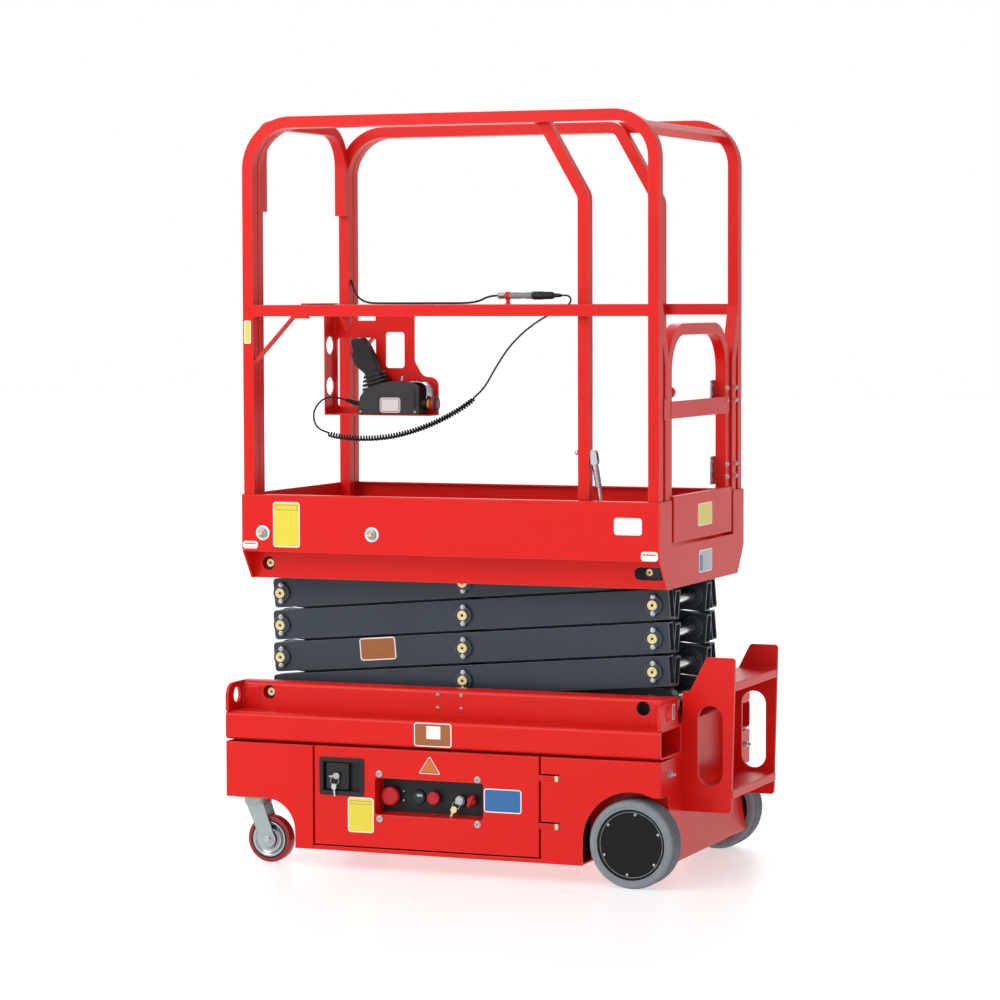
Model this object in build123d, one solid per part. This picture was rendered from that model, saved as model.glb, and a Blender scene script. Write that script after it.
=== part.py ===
from build123d import *
import os
from math import atan, atan2, cos, degrees, hypot, radians, sin, tan

# Self-propelled scissor lift, stowed. Millimetres, +Z up, ground at z = 0.
# X runs along the machine towards the ladder, Y across it, and the machine is
# symmetric about the XZ plane unless a name says near (-Y) or far (+Y).

os.makedirs("parts", exist_ok=True)

# ---- driving dimensions -------------------------------------------------
base_left = -688.0
base_length = 1237.0
base_right = base_left + base_length
base_half = 375.0
ledge_z = 411.0
channel_height = 76.0
channel_wall = 5.0
channel_radius = 14.0
rail_inset = 95.0
rail_wall = 6.0
rail_height = 74.0
rail_flange = 40.0
rail_radius = 16.0
lug_thickness = 8.0
lug_corner = 36.0
lug_hole = 42.0
lug_hole_inset = 55.0
lug_hole_drop = 35.0
corner_strip = 46.0
deck_drop = 6.0
plate = 5.0
panel_wall = 4.0
panel_gap = 5.0
panel_fold = 16.0
panel_edge = 3.0
panel_bottom = 51.0
end_wall = 6.0
caster_bay_bottom = 181.0
caster_arch_radius = 85.0

scissor_x = -603.0
scissor_z = 455.0
scissor_reach = 1071.0
scissor_pitch = 87.5
stage_count = 4
raised_angle = 51.3
arm_height = 80.0
arm_width = 40.0
arm_wall = 5.0
arm_gap = 4.0
# overhang past the pin, corner radius, depth the box is open
end_style = {
    "caster": (25.0, 10.0, 7.0),
    "ladder": (42.0, 4.0, 22.0),
    "roller": (42.0, 33.0, 0.0),
}
outer_face = 194.0
pin_diameter = 32.0
pin_clearance = 0.3
pin_recess = 15.0
boss_diameter = 46.0
boss_height = 9.0
head_diameter = 27.0
head_height = 7.0
cross_tube = 48.0
roller_diameter = 60.0
roller_width = 20.0
roller_offset = 16.0
track_gap = 0.3

drive_diameter = 230.0
drive_width = 80.0
drive_inset = 78.3
wheel_proud = 11.5
wheel_gap = 6.5
tyre_wall = 23.0
hub_inset = 10.0
hub_rim = 6.0
hub_dish = 2.0
axle_diameter = 60.0
axle_engage = 20.0
arch_clearance = 20.0

caster_diameter = 127.0
caster_width = 32.0
caster_x = -582.7
caster_trail = 40.0
caster_inset = 61.4
caster_rim = 92.0
caster_dish = 7.0

platform_left = -647.5
platform_length = 1186.0
platform_right = platform_left + platform_length
platform_half = 349.4
toe_rise = 189.3
kink_rise = 36.6
skirt_drop = 39.3
deck_rise = 55.0
deck_step = 10.0
plate_deck = 4.0
end_inset = 53.9
toe_lip = 24.0
toe_wall = 4.0
skirt_wall = 6.0
notch_half = 258.0
notch_depth = 119.3

rail_rise = 1005.0
mid_rail_rise = 475.7
rail_tube = 30.0
rail_inset_side = 6.2
rail_inset_end = 4.0
rail_inset_entry = 5.0
rail_bend = 125.0
rail_bend_entry = 110.0
nest_gap = 5.5
end_hoop_depth = 26.0
end_hoop_bend = 100.0
end_hoop_leg = 249.3
extension_rear = 329.0
extension_slope_run = 118.0
extension_slope_drop = 204.3

ladder_face = 190.0
ladder_plate = 8.0
ladder_reach = 139.0
ladder_rise = 99.6

# ---- derived positions --------------------------------------------------
arm_length = hypot(scissor_reach, scissor_pitch)
rest_angle = degrees(atan2(scissor_pitch, scissor_reach))
scissor_right = scissor_x + scissor_reach
inner_face = outer_face - arm_width - arm_gap
inner_back = inner_face - arm_width
roller_inner = outer_face + roller_offset
roller_outer = roller_inner + roller_width
channel_z = ledge_z - channel_height
channel_edge = roller_inner
rail_z = ledge_z + rail_height
rail_face = base_half - rail_inset
pin_end = rail_face - pin_recess
deck_top = ledge_z - deck_drop
drive_x = base_right - drive_inset
hub_diameter = drive_diameter - 2 * tyre_wall
drive_face = base_half + wheel_proud
body_half = drive_face - drive_width - wheel_gap
caster_y = base_half - caster_inset
ladder_out = base_right + ladder_reach
ladder_top = rail_z + ladder_rise
platform_pivot_z = scissor_z + stage_count * scissor_pitch
skirt_bottom = platform_pivot_z - skirt_drop
kink_z = platform_pivot_z + kink_rise
deck_z = platform_pivot_z + deck_rise
extension_deck_z = deck_z + deck_step
toe_top = platform_pivot_z + toe_rise
notch_z = toe_top - notch_depth
rail_top = toe_top + rail_rise
mid_rail_z = toe_top + mid_rail_rise
mid_rail_top = mid_rail_z + rail_tube
rail_side = platform_half - rail_inset_side
rail_left = platform_left + rail_inset_end
rail_right = platform_right - rail_inset_entry
nest_side = rail_side - rail_tube - nest_gap


# ---- helpers ------------------------------------------------------------
def block(x, y, z):
    """A box between two values on each axis."""
    size = (x[1] - x[0], y[1] - y[0], z[1] - z[0])
    centre = ((x[0] + x[1]) / 2, (y[0] + y[1]) / 2, (z[0] + z[1]) / 2)
    return Pos(*centre) * Box(*size)


def cross_rod(x, z, diameter, y0, y1):
    """A round bar along Y."""
    return Pos(x, (y0 + y1) / 2, z) * Rot(90, 0, 0) * Cylinder(diameter / 2, y1 - y0)


def long_rod(y, z, diameter, x0, x1):
    """A round bar along X."""
    return Pos((x0 + x1) / 2, y, z) * Rot(0, 90, 0) * Cylinder(diameter / 2, x1 - x0)


def post(x, y, diameter, z0, z1):
    """A round bar along Z."""
    return Pos(x, y, (z0 + z1) / 2) * Cylinder(diameter / 2, z1 - z0)


def side_plate(points, y0, y1):
    """A flat plate in the XZ plane, from y0 to y1."""
    face = make_face(Polyline(*[(x, 0, z) for x, z in points], close=True))
    return Pos(0, y0, 0) * extrude(face, y1 - y0, dir=(0, 1, 0))


def cut_plate(points, radii, y0, y1):
    """A flat plate in the XZ plane with its corners rounded, from y0 to y1."""
    face = make_face(FilletPolyline(*[(x, 0, z) for x, z in points], radius=radii, close=True))
    return Pos(0, y0, 0) * extrude(face, y1 - y0, dir=(0, 1, 0))


def front_edges(shape):
    """The edges of a shape that lie in its foremost face."""
    return shape.edges().group_by(Axis.Y)[0]


def end_plate(points, x0, x1):
    """A flat plate in the YZ plane, from x0 to x1."""
    face = make_face(Polyline(*[(0, y, z) for y, z in points], close=True))
    return Pos(x0, 0, 0) * extrude(face, x1 - x0, dir=(1, 0, 0))


def far(shape):
    """The mirror image on the far side."""
    return mirror(shape, Plane.XZ)


def both(shape):
    """A piece and its mirror image, apart from each other."""
    return Compound(children=[shape, far(shape)])


def square_tube(points, radii, across, depth=rail_tube):
    """A square tube along a bent path, with its width kept across one axis."""
    path = FilletPolyline(*points, radius=radii)
    section = Plane(path @ 0, x_dir=across, z_dir=path % 0) * Rectangle(rail_tube, depth)
    return sweep(section, path)


def save(name, shape):
    export_step(shape, "parts/" + name + ".step")


# ---- base ---------------------------------------------------------------
def side_channel():
    """The open-ended pocket channel that carries a side rail."""
    y0 = -base_half
    y1 = -channel_edge
    outer = block((base_left, base_right), (y0, y1), (channel_z, ledge_z))
    outer = fillet(outer.edges().filter_by(Axis.X).group_by(Axis.Y)[0], channel_radius)
    pocket = block((base_left - 1, base_right + 1), (y0 + channel_wall, y1 - channel_wall),
                   (channel_z + channel_wall, ledge_z - channel_wall))
    inner_radius = channel_radius - channel_wall
    pocket = fillet(pocket.edges().filter_by(Axis.X).group_by(Axis.Y)[0], inner_radius)
    return outer - pocket


def side_rail():
    """The upright rail above the ledge, with its pivot block and tie-down lugs."""
    x0 = base_left + lug_thickness
    x1 = base_right - lug_thickness
    y0 = -rail_face
    y1 = -rail_face + rail_flange
    outer = block((x0, x1), (y0, y1), (ledge_z, rail_z))
    outer = fillet(outer.edges().filter_by(Axis.X).group_by(Axis.Y)[0].group_by(Axis.Z)[-1], rail_radius)
    inner = block((x0 - 1, x1 + 1), (y0 + rail_wall, y1 + 1), (ledge_z - 1, rail_z - rail_wall))
    inner = fillet(inner.edges().filter_by(Axis.X).group_by(Axis.Y)[0].group_by(Axis.Z)[-1],
                   rail_radius - rail_wall)
    rail = outer - inner
    for x in (scissor_x, scissor_right):
        rail -= cross_rod(x, scissor_z, pin_diameter + 6, y0 - 1, y0 + rail_wall + 1)
    for x in (base_left, base_right - lug_thickness):
        lug = block((x, x + lug_thickness), (-base_half, y1), (ledge_z, rail_z))
        lug = fillet(lug.edges().filter_by(Axis.X).group_by(Axis.Y)[0].group_by(Axis.Z)[-1], lug_corner)
        hole_y = -base_half + lug_hole_inset
        lug -= long_rod(hole_y, rail_z - lug_hole_drop, lug_hole, x - 1, x + lug_thickness + 1)
        rail += lug
    for x in (x0, x1 - corner_strip):
        rail += block((x, x + corner_strip), (y0 - lug_thickness / 2, y0), (ledge_z, rail_z - rail_radius))
    return rail


pivot_half = 34.0
pivot_set_back = 3.0
pivot_depth = 22.0
track_start = 0.0
track_past = 50.0
track_margin = 4.0


def pivot_block(z0, z1, pivot_z):
    """The block inside a rail that holds an end of the fixed pivot pin."""
    y = (-pin_end + pivot_set_back, -pin_end + pivot_set_back + pivot_depth)
    body = block((scissor_x - pivot_half, scissor_x + pivot_half), y, (z0, z1))
    hole = pin_diameter + 2 * pin_clearance
    return body - cross_rod(scissor_x, pivot_z, hole, y[0] - 1, y[1] + 1)


def roller_track(z0, z1):
    """The bar that a roller runs on as the scissors open."""
    y = (-roller_outer - track_margin, -roller_inner + track_margin)
    return block((track_start, scissor_right + track_past), y, (z0, z1))


save("side_channels", both(side_channel()))
base_track_top = scissor_z - roller_diameter / 2 - track_gap
save("side_rails", both(side_rail() + pivot_block(ledge_z, rail_z - rail_wall, scissor_z)))
save("base_tracks", both(roller_track(ledge_z, base_track_top)))
base_deck = block((base_left, base_right - panel_wall - end_wall), (-channel_edge, channel_edge),
                  (deck_top - plate, deck_top))
save("base_deck", base_deck)

# ---- lower body ---------------------------------------------------------
door_left = -426.0
door_right = 214.5
door_bottom = 66.0
door_top = channel_z - panel_gap
bay_right = -484.0
arch_radius = drive_diameter / 2 + arch_clearance
arch_top = 238.0
flange_depth = 115.0
flange_corner = 30.0
slot_past = 10.0
bulkhead_inset = 40.0
panel_x0 = door_right + panel_gap
hinge_x = 262.0
hinge_y = -base_half + 10.0
slot_z = (141.0, 266.0)
slot_height = 20.0
hinge_pin = 8.0
knuckle_diameter = 16.0
knuckle_height = 26.0


def drive_end_panel():
    """The fixed panel round the drive wheel, with the door's hinge slots."""
    y0 = -base_half
    y1 = y0 + panel_wall
    x1 = base_right
    sheet = block((panel_x0, x1), (y0, y1), (panel_bottom, door_top))
    sheet = fillet(front_edges(sheet), panel_edge)
    sheet -= cross_rod(drive_x, drive_diameter / 2, 2 * arch_radius, y0 - 1, y1 + 1)
    sheet -= block((drive_x, x1 + 1), (y0 - 1, y1 + 1), (panel_bottom - 1, arch_top))
    sheet -= block((drive_x - arch_radius, drive_x), (y0 - 1, y1 + 1), (panel_bottom - 1, drive_diameter / 2))
    flange = block((x1 - panel_wall, x1), (y1 - 1, y0 + flange_depth), (arch_top, door_top))
    lower_corner = flange.edges().filter_by(Axis.X).group_by(Axis.Y)[-1].group_by(Axis.Z)[0]
    flange = fillet(lower_corner, flange_corner)
    top = block((panel_x0, x1), (y1 - 1, y0 + panel_fold), (door_top - panel_wall, door_top))
    post_fold = block((panel_x0, panel_x0 + panel_wall), (y1 - 1, y0 + panel_fold), (door_bottom, door_top))
    for z in slot_z:
        slot = block((panel_x0 - 1, hinge_x + slot_past), (y0 - 1, y0 + panel_fold + 1), (z, z + slot_height))
        sheet -= slot
        post_fold -= slot
        sheet += post(hinge_x, hinge_y, knuckle_diameter, z - knuckle_height, z)
        sheet += post(hinge_x, hinge_y, hinge_pin, z - 1, z + slot_height - 2)
    return sheet + flange + top + post_fold


def caster_end_panel():
    """The fixed panel over the caster, arched round the swinging wheel."""
    y0 = -base_half
    y1 = y0 + panel_wall
    x1 = door_left - panel_gap
    sheet = block((base_left, x1), (y0, y1), (panel_bottom, door_top))
    sheet = fillet(front_edges(sheet), panel_edge)
    bay = block((base_left - 1, bay_right), (y0 - 1, y1 + 1), (panel_bottom - 1, caster_bay_bottom))
    arch_corner = bay.edges().filter_by(Axis.Y).group_by(Axis.X)[-1].group_by(Axis.Z)[-1]
    sheet -= fillet(arch_corner, caster_arch_radius)
    sheet += block((x1 - panel_wall, x1), (y1 - 1, y0 + panel_fold), (door_bottom, door_top))
    sheet += block((base_left, base_left + panel_wall), (y1 - 1, y0 + panel_fold),
                   (caster_bay_bottom + plate, door_top))
    return sheet


def caster_bay():
    """The left end sheet and the plate that carries both casters."""
    x1 = bay_right + plate
    inside = base_half - panel_wall
    sheet = base_half - panel_fold
    bed = block((base_left, x1), (-inside, inside), (caster_bay_bottom, caster_bay_bottom + plate))
    end = block((base_left, base_left + panel_wall), (-sheet, sheet), (caster_bay_bottom, door_top))
    bulkhead = block((bay_right, x1), (-inside + bulkhead_inset, inside - bulkhead_inset),
                     (panel_bottom, channel_z))
    return bed + end + bulkhead


tail_kick = 16.0
tail_bend_z = 180.0
tail_foot_z = 70.0
body_foot = 10.0
body_left = drive_x - arch_radius - plate
door_clearance = 4.0


def floor_pan():
    x0 = bay_right + plate
    half = base_half - panel_wall
    pan = block((x0, body_left), (-half, half), (panel_bottom, door_bottom - door_clearance))
    hollow = block((x0 - 1, body_left + 1), (-half + panel_wall, half - panel_wall),
                   (panel_bottom + plate, door_bottom))
    return pan - hollow


def drive_body():
    """The box between the drive wheels, with the end wall and its kicked-out tail."""
    x0 = body_left
    x1 = base_right - panel_wall
    z0 = panel_bottom + body_foot
    outer = [(x0, z0), (x1 + tail_kick, z0), (x1 + tail_kick, tail_foot_z),
             (x1, tail_bend_z), (x1, channel_z), (x0, channel_z)]
    wall = x1 - end_wall
    inner = [(x0 + plate, z0 + plate), (wall + tail_kick, z0 + plate), (wall + tail_kick, tail_foot_z),
             (wall, tail_bend_z), (wall, channel_z + 1), (x0 + plate, channel_z + 1)]
    shell = side_plate(outer, -body_half, body_half)
    shell -= side_plate(inner, -body_half + plate, body_half - plate)
    upper = block((wall, x1), (-channel_edge, channel_edge), (channel_z, ledge_z))
    return shell + upper


save("drive_body", drive_body())
save("drive_end_panels", both(drive_end_panel()))
save("caster_end_panels", both(caster_end_panel()))
save("caster_bay", caster_bay())
save("floor_pan", floor_pan())

# x, y and z spans of the two heavy blocks that stand on the floor pan
battery_span = ((-440.0, -60.0), (-260.0, -20.0), (panel_bottom + plate, 290.0))
pump_span = ((0.0, 180.0), (40.0, 250.0), (panel_bottom + plate, 260.0))
save("battery_pack", block(*battery_span))
save("hydraulic_unit", block(*pump_span))

door_fold = 20.0
door_fold_wall = 3.0
hinge_arm_root = 30.0
hinge_arm = (-7.0, 4.0)
hinge_rise = 0.5
hinge_drop = 5.0


def door():
    """The swing-out door with its folded edges and its two hinge arms."""
    y0 = -base_half
    fold = door_fold_wall
    sheet = block((door_left, door_right), (y0, y0 + door_fold), (door_bottom, door_top))
    sheet = fillet(front_edges(sheet), panel_edge)
    sheet -= block((door_left + fold, door_right - fold), (y0 + panel_wall, y0 + door_fold + 1),
                   (door_bottom + fold, door_top - fold))
    for z in slot_z:
        span = (z + hinge_rise, z + slot_height - hinge_drop)
        arm_y = (hinge_y + hinge_arm[0], hinge_y + hinge_arm[1])
        sheet += block((door_right - hinge_arm_root, hinge_x), arm_y, span)
        sheet += post(hinge_x, hinge_y, knuckle_diameter, *span)
    for z in slot_z:
        sheet -= post(hinge_x, hinge_y, hinge_pin + 2 * pin_clearance, z, z + slot_height)
    return sheet


recess_x = (-251.0, 59.4)
recess_z = (154.0, 252.0)
recess_depth = 60.0
recess_wall = 3.0
recess_corner = 8.0


def inset(span, margin):
    """A span made smaller by a margin at both ends."""
    return (span[0] + margin, span[1] - margin)


def rounded_box(x, y, z, radius):
    """A box whose four edges along Y are rounded."""
    shape = block(x, y, z)
    return fillet(shape.edges().filter_by(Axis.Y), radius)


def control_recess():
    """The box let into the near door round the ground controls."""
    y0 = -base_half
    outer_x, outer_z = inset(recess_x, -recess_wall), inset(recess_z, -recess_wall)
    outer = block(outer_x, (y0 + panel_wall, y0 + recess_depth), outer_z)
    return outer - rounded_box(recess_x, (y0, y0 + recess_depth - recess_wall), recess_z, recess_corner)


door_cut = (-base_half - 1, -base_half + panel_wall + 1)
near_door = door() - rounded_box(recess_x, door_cut, recess_z, recess_corner)
near_door += control_recess()
latch_x = (-411.0, -281.0)
latch_z = (200.0, 301.0)
latch_depth = 16.0
latch_proud = 2.5
latch_corner = 7.0
latch_wall = 3.0
bezel_width = 12.0
latch_hole_inset = 8.0
latch_hole = block(inset(latch_x, latch_hole_inset), door_cut, inset(latch_z, latch_hole_inset))
near_door -= latch_hole
far_door = far(door() - latch_hole)
save("door_near", near_door)
save("door_far", far_door)


def latch():
    """The paddle latch: a dished bezel with its handle."""
    y0 = -base_half - latch_proud
    back = y0 + latch_depth
    bezel = rounded_box(latch_x, (y0, -base_half), latch_z, latch_corner)
    bezel = fillet(front_edges(bezel), latch_proud / 2)
    bowl_inset = bezel_width - latch_wall
    bowl = block(inset(latch_x, bowl_inset), (-base_half, back + latch_wall), inset(latch_z, bowl_inset))
    dish = block(inset(latch_x, bezel_width), (y0 - 1, back), inset(latch_z, bezel_width))
    paddle_x = (latch_x[0] + bezel_width + 6, latch_x[1] - 3 * bezel_width - 9)
    paddle = block(paddle_x, (y0 + latch_wall + 1, back + 1), inset(latch_z, bezel_width + 2))
    paddle = fillet(front_edges(paddle), latch_wall)
    return bezel + bowl - dish + paddle


save("latch_near", latch())
save("latch_far", far(latch()))

control_plate = 4.0
control_margin = 3.0
control_y = -base_half + recess_depth - recess_wall
button_table = (
    # x, z, diameter of the head, diameter of the stem, stands out, edge radius
    (-221.0, 200.0, 50.0, 26.0, 26.0, 6.0),
    (-145.0, 199.0, 34.0, 30.0, 6.0, 1.5),
    (-98.0, 200.0, 34.0, 24.0, 20.0, 3.0),
    (-24.0, 197.0, 26.0, 22.0, 12.0, 2.0),
    (12.0, 199.0, 22.0, 14.0, 24.0, 4.0),
)


def mushroom(x, z, head, stem, stands_out, edge):
    """A round button on a thinner stem."""
    front = control_y - control_plate - stands_out
    cap = cross_rod(x, z, head, front, front + stands_out / 2)
    cap = fillet(front_edges(cap), edge)
    return cap + cross_rod(x, z, stem, front + stands_out / 2, control_y - control_plate / 2)


controls = block(inset(recess_x, control_margin), (control_y - control_plate, control_y),
                 inset(recess_z, control_margin))
for button in button_table:
    controls += mushroom(*button)
save("ground_controls", controls)


ladder_kink = 9.0
ladder_neck = 20.0
ladder_head = 77.0
ladder_corner = 9.0
ladder_taper = 10.0
slot_inset = 33.0
slot_width = 68.0
ladder_slot = (250.0, 458.0)
step_depth = 110.0
step_wall = 4.0
step_fold = 22.0
step_table = (
    # height of the tread, set back from the plates' outer edge
    (520.0, 2.0),
    (240.0, 6.0),
)


def ladder():
    """Two cut-out side plates with two steps, behind the drive axle."""
    x0 = base_right - panel_wall
    z0 = tail_bend_z
    kink = rail_z + ladder_kink
    profile = [(x0, z0), (x0, kink), (x0 + ladder_neck, kink), (ladder_out - ladder_head, ladder_top),
               (ladder_out, ladder_top), (ladder_out, ladder_top - 2 * ladder_corner),
               (ladder_out - ladder_taper, z0)]
    radii = [0.1, 3.0, ladder_corner, ladder_corner, ladder_corner, 2.0, ladder_corner]
    y = (-ladder_face, -ladder_face + ladder_plate)
    side = cut_plate(profile, radii, *y)
    slot_x = (ladder_out - slot_inset - slot_width, ladder_out - slot_inset)
    slot = block(slot_x, (y[0] - 1, y[1] + 1), ladder_slot)
    side -= fillet(slot.edges().filter_by(Axis.Y), slot_width / 2 - 0.5)
    frame = side + far(side)
    inside = ladder_face - ladder_plate / 2
    for z, setback in step_table:
        x1 = ladder_out - setback
        step = block((x1 - step_depth, x1), (-inside, inside), (z - step_fold, z))
        hollow = block((x1 - step_depth - 1, x1 - step_wall), (-inside - 1, inside + 1),
                       (z - step_fold - 1, z - step_wall))
        nose = step.edges().filter_by(Axis.Y).group_by(Axis.X)[-1].group_by(Axis.Z)[-1]
        frame += fillet(nose, step_wall) - hollow
    return frame


save("ladder", ladder())

# ---- wheels -------------------------------------------------------------
tyre_shoulder = 7.0
hub_set_back = 3.0


def drive_tyre():
    y0 = -drive_face
    y1 = y0 + drive_width
    tyre = cross_rod(drive_x, drive_diameter / 2, drive_diameter, y0, y1)
    tyre = fillet(tyre.edges().filter_by(GeomType.CIRCLE), tyre_shoulder)
    return tyre - cross_rod(drive_x, drive_diameter / 2, hub_diameter, y0 - 1, y1 + 1)


def drive_hub():
    y0 = -drive_face
    y1 = y0 + drive_width
    face = y0 + hub_set_back
    hub = cross_rod(drive_x, drive_diameter / 2, hub_diameter, face, y1 - hub_inset)
    hub -= cross_rod(drive_x, drive_diameter / 2, hub_diameter - 2 * hub_rim, face - 1, face + hub_dish)
    bore = axle_diameter + 2 * pin_clearance
    bore_face = y1 - hub_inset - axle_engage - pin_clearance
    return hub - cross_rod(drive_x, drive_diameter / 2, bore, bore_face, y1)


for name, place in (("near", lambda s: s), ("far", far)):
    save("drive_tyre_" + name, place(drive_tyre()))
    save("drive_hub_" + name, place(drive_hub()))
hub_back = -drive_face + drive_width - hub_inset
axle = cross_rod(drive_x, drive_diameter / 2, axle_diameter, hub_back - axle_engage, -body_half)
save("axle_stubs", both(axle))


caster_pin = 12.0
fork_wall = 4.0
fork_gap = 5.0
fork_head_half = 26.0
fork_foot = 44.0
swivel_plate = (50.0, 42.0)
swivel_ring = 74.0


def caster_fork():
    """Swivel plate, bearing race and bent fork legs, welded up."""
    x = caster_x - caster_trail
    top = caster_bay_bottom - pin_clearance
    y = -caster_y
    axle_z = caster_diameter / 2
    fork = block((x - swivel_plate[0], x + swivel_plate[0]), (y - swivel_plate[1], y + swivel_plate[1]),
                 (top - fork_wall, top))
    fork = fillet(fork.edges().filter_by(Axis.Z), 2 * fork_wall)
    race = post(x, y, swivel_ring, top - 22, top - fork_wall)
    fork += fillet(race.edges().filter_by(GeomType.CIRCLE), 3)
    inner = caster_width / 2 + fork_gap
    crown_z = top - 26
    for y0 in (y - inner - fork_wall, y + inner):
        leg = side_plate([(x - fork_head_half, top - 18), (x + fork_head_half, top - 18),
                          (caster_x + fork_foot / 2, axle_z), (caster_x - fork_foot / 2, axle_z)],
                         y0, y0 + fork_wall)
        fork += leg + cross_rod(caster_x, axle_z, fork_foot, y0, y0 + fork_wall)
    fork += block((x - fork_head_half, x + fork_head_half), (y - inner - fork_wall, y + inner + fork_wall),
                  (crown_z, crown_z + 8))
    hole = caster_pin + 2 * pin_clearance
    fork -= cross_rod(caster_x, axle_z, hole, y - 60, y + 60)
    return fork


def caster_wheel():
    """Tread on a dished rim, with its hub and its pin."""
    y = -caster_y
    axle_z = caster_diameter / 2
    half = caster_width / 2
    wheel = cross_rod(caster_x, axle_z, caster_diameter, y - half, y + half)
    wheel = fillet(wheel.edges().filter_by(GeomType.CIRCLE), 6)
    for side in (-1, 1):
        face = sorted((y + side * (half + 1), y + side * (half - caster_dish)))
        wheel -= cross_rod(caster_x, axle_z, caster_rim, *face)
    wheel += cross_rod(caster_x, axle_z, 44, y - half + 2, y + half - 2)
    wheel += cross_rod(caster_x, axle_z, 30, y - half - fork_gap + 1, y + half + fork_gap - 1)
    wheel += cross_rod(caster_x, axle_z, caster_pin, y - half - 14, y + half + 14)
    return wheel


for name, place in (("near", lambda s: s), ("far", far)):
    save("caster_fork_" + name, place(caster_fork()))
    save("caster_wheel_" + name, place(caster_wheel()))


# ---- scissor stack ------------------------------------------------------
def arm_bar(y0, first, last):
    """One box-section arm along X from its first pin at the origin, open at its ends."""
    first_reach, first_corner, first_open = end_style[first]
    last_reach, last_corner, last_open = end_style[last]
    half = arm_height / 2
    x0 = -first_reach
    x1 = arm_length + last_reach
    outline = [(x0, -half), (x0, half), (x1, half), (x1, -half)]
    bar = cut_plate(outline, [first_corner, first_corner, last_corner, last_corner], y0, y0 + arm_width)
    inside = ((y0 + arm_wall, y0 + arm_width - arm_wall), (-half + arm_wall, half - arm_wall))
    if first_open:
        bar -= block((x0 - 1, x0 + first_open), *inside)
    if last_open:
        bar -= block((x1 - last_open, x1 + 1), *inside)
    return bar


def outer_frame(k):
    """Both outer arms of a stage with their three shafts, lying along X."""
    bar = arm_bar(-outer_face, "caster", "roller" if k == stage_count - 1 else "ladder")
    frame = bar + far(bar)
    mid = arm_length / 2
    hole = pin_diameter
    reach0 = pin_end if k == 0 else outer_face + boss_height
    frame += cross_rod(0, 0, hole, -reach0, reach0)
    reach1 = roller_outer if k == stage_count - 1 else outer_face + boss_height
    frame += cross_rod(arm_length, 0, hole, -reach1, reach1)
    if k == stage_count - 1:
        frame += cross_rod(arm_length, 0, roller_diameter, -reach1, -roller_inner)
        frame += cross_rod(arm_length, 0, roller_diameter, roller_inner, reach1)
    for sign in (-1, 1):
        y = (sign * (inner_back - 2), sign * (outer_face + 2))
        frame += cross_rod(mid, 0, hole, min(y), max(y))
    places = [mid]
    if k > 0:
        places.append(0.0)
    if k < stage_count - 1:
        places.append(arm_length)
    for x in places:
        for sign in (-1, 1):
            y = (sign * outer_face, sign * (outer_face + boss_height))
            frame += cross_rod(x, 0, boss_diameter, min(y), max(y))
            y = (sign * outer_face, sign * (outer_face + boss_height + head_height))
            frame += cross_rod(x, 0, head_diameter, min(y), max(y))
    return frame


lift_from = 0.88
lift_to = 0.15
ear_gap = 31.0
ear_wall = 12.0
tube_offset = 72.0
tube_rise = 52.0
lift_pin = 30.0


def inner_frame(k):
    """Both inner arms of a stage, its cross tubes and end shafts, lying along X."""
    bar = arm_bar(-inner_face, "roller" if k == 0 else "ladder", "caster")
    frame = bar + far(bar)
    hole = pin_diameter + 2 * pin_clearance
    holes = [arm_length / 2]
    if k > 0:
        holes.append(0.0)
    if k < stage_count - 1:
        holes.append(arm_length)
    for x in holes:
        frame -= cross_rod(x, 0, hole, -inner_face - 1, inner_face + 1)
    if k == 0:
        reach = roller_outer
        frame += cross_rod(0, 0, pin_diameter, -reach, reach)
        frame += cross_rod(0, 0, roller_diameter, -reach, -roller_inner)
        frame += cross_rod(0, 0, roller_diameter, roller_inner, reach)
    if k == stage_count - 1:
        frame += cross_rod(arm_length, 0, pin_diameter, -pin_end, pin_end)
    tubes = []
    if k == 0:
        tubes.append((arm_length * lift_from + tube_offset, 0.0))
    if k == 1:
        tubes += [(arm_length * 0.06, 0.0), (arm_length * 0.94, 0.0)]
    if k == 2:
        tubes += [(arm_length * lift_to + tube_offset, tube_rise), (arm_length * 0.94, 0.0)]
    if k == 3:
        tubes.append((arm_length * 0.06, 0.0))
    for x, z in tubes:
        reach = inner_back - (2 if z else -2)
        frame += cross_rod(x, z, cross_tube, -reach, reach)
    if k == 2:
        x = arm_length * lift_to + tube_offset
        for sign in (-1, 1):
            y = (sign * inner_back, sign * (inner_back - 12))
            frame += block((x - 30, x + 30), (min(y), max(y)), (-arm_height / 2 + 5, tube_rise + 20))
    if k == 0:
        x = arm_length * lift_from
        for y0 in (-ear_gap - ear_wall, ear_gap):
            ear = side_plate([(x - 26, -28), (x + tube_offset, -28), (x + tube_offset, 28), (x - 26, 28)],
                             y0, y0 + ear_wall)
            frame += ear
        frame += cross_rod(x, 0, lift_pin, -ear_gap - ear_wall - 4, ear_gap + ear_wall + 4)
    if k == 2:
        x = arm_length * lift_to
        for y0 in (-ear_gap - ear_wall, ear_gap):
            ear = side_plate([(x - 95, -35), (x + 35, -35), (x + 92, 30), (x + 92, 76), (x + 40, 76),
                              (x - 95, 20)],
                             y0, y0 + ear_wall)
            frame += ear
    return frame


def outer_place(k):
    return Pos(scissor_x, 0, scissor_z + k * scissor_pitch) * Rot(0, -rest_angle, 0)


def inner_place(k):
    return Pos(scissor_right, 0, scissor_z + k * scissor_pitch) * Rot(0, 0, 180) * Rot(0, -rest_angle, 0)


for k in range(stage_count):
    save("outer_arms_" + str(k + 1), outer_place(k) * outer_frame(k))
    save("inner_arms_" + str(k + 1), inner_place(k) * inner_frame(k))


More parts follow.
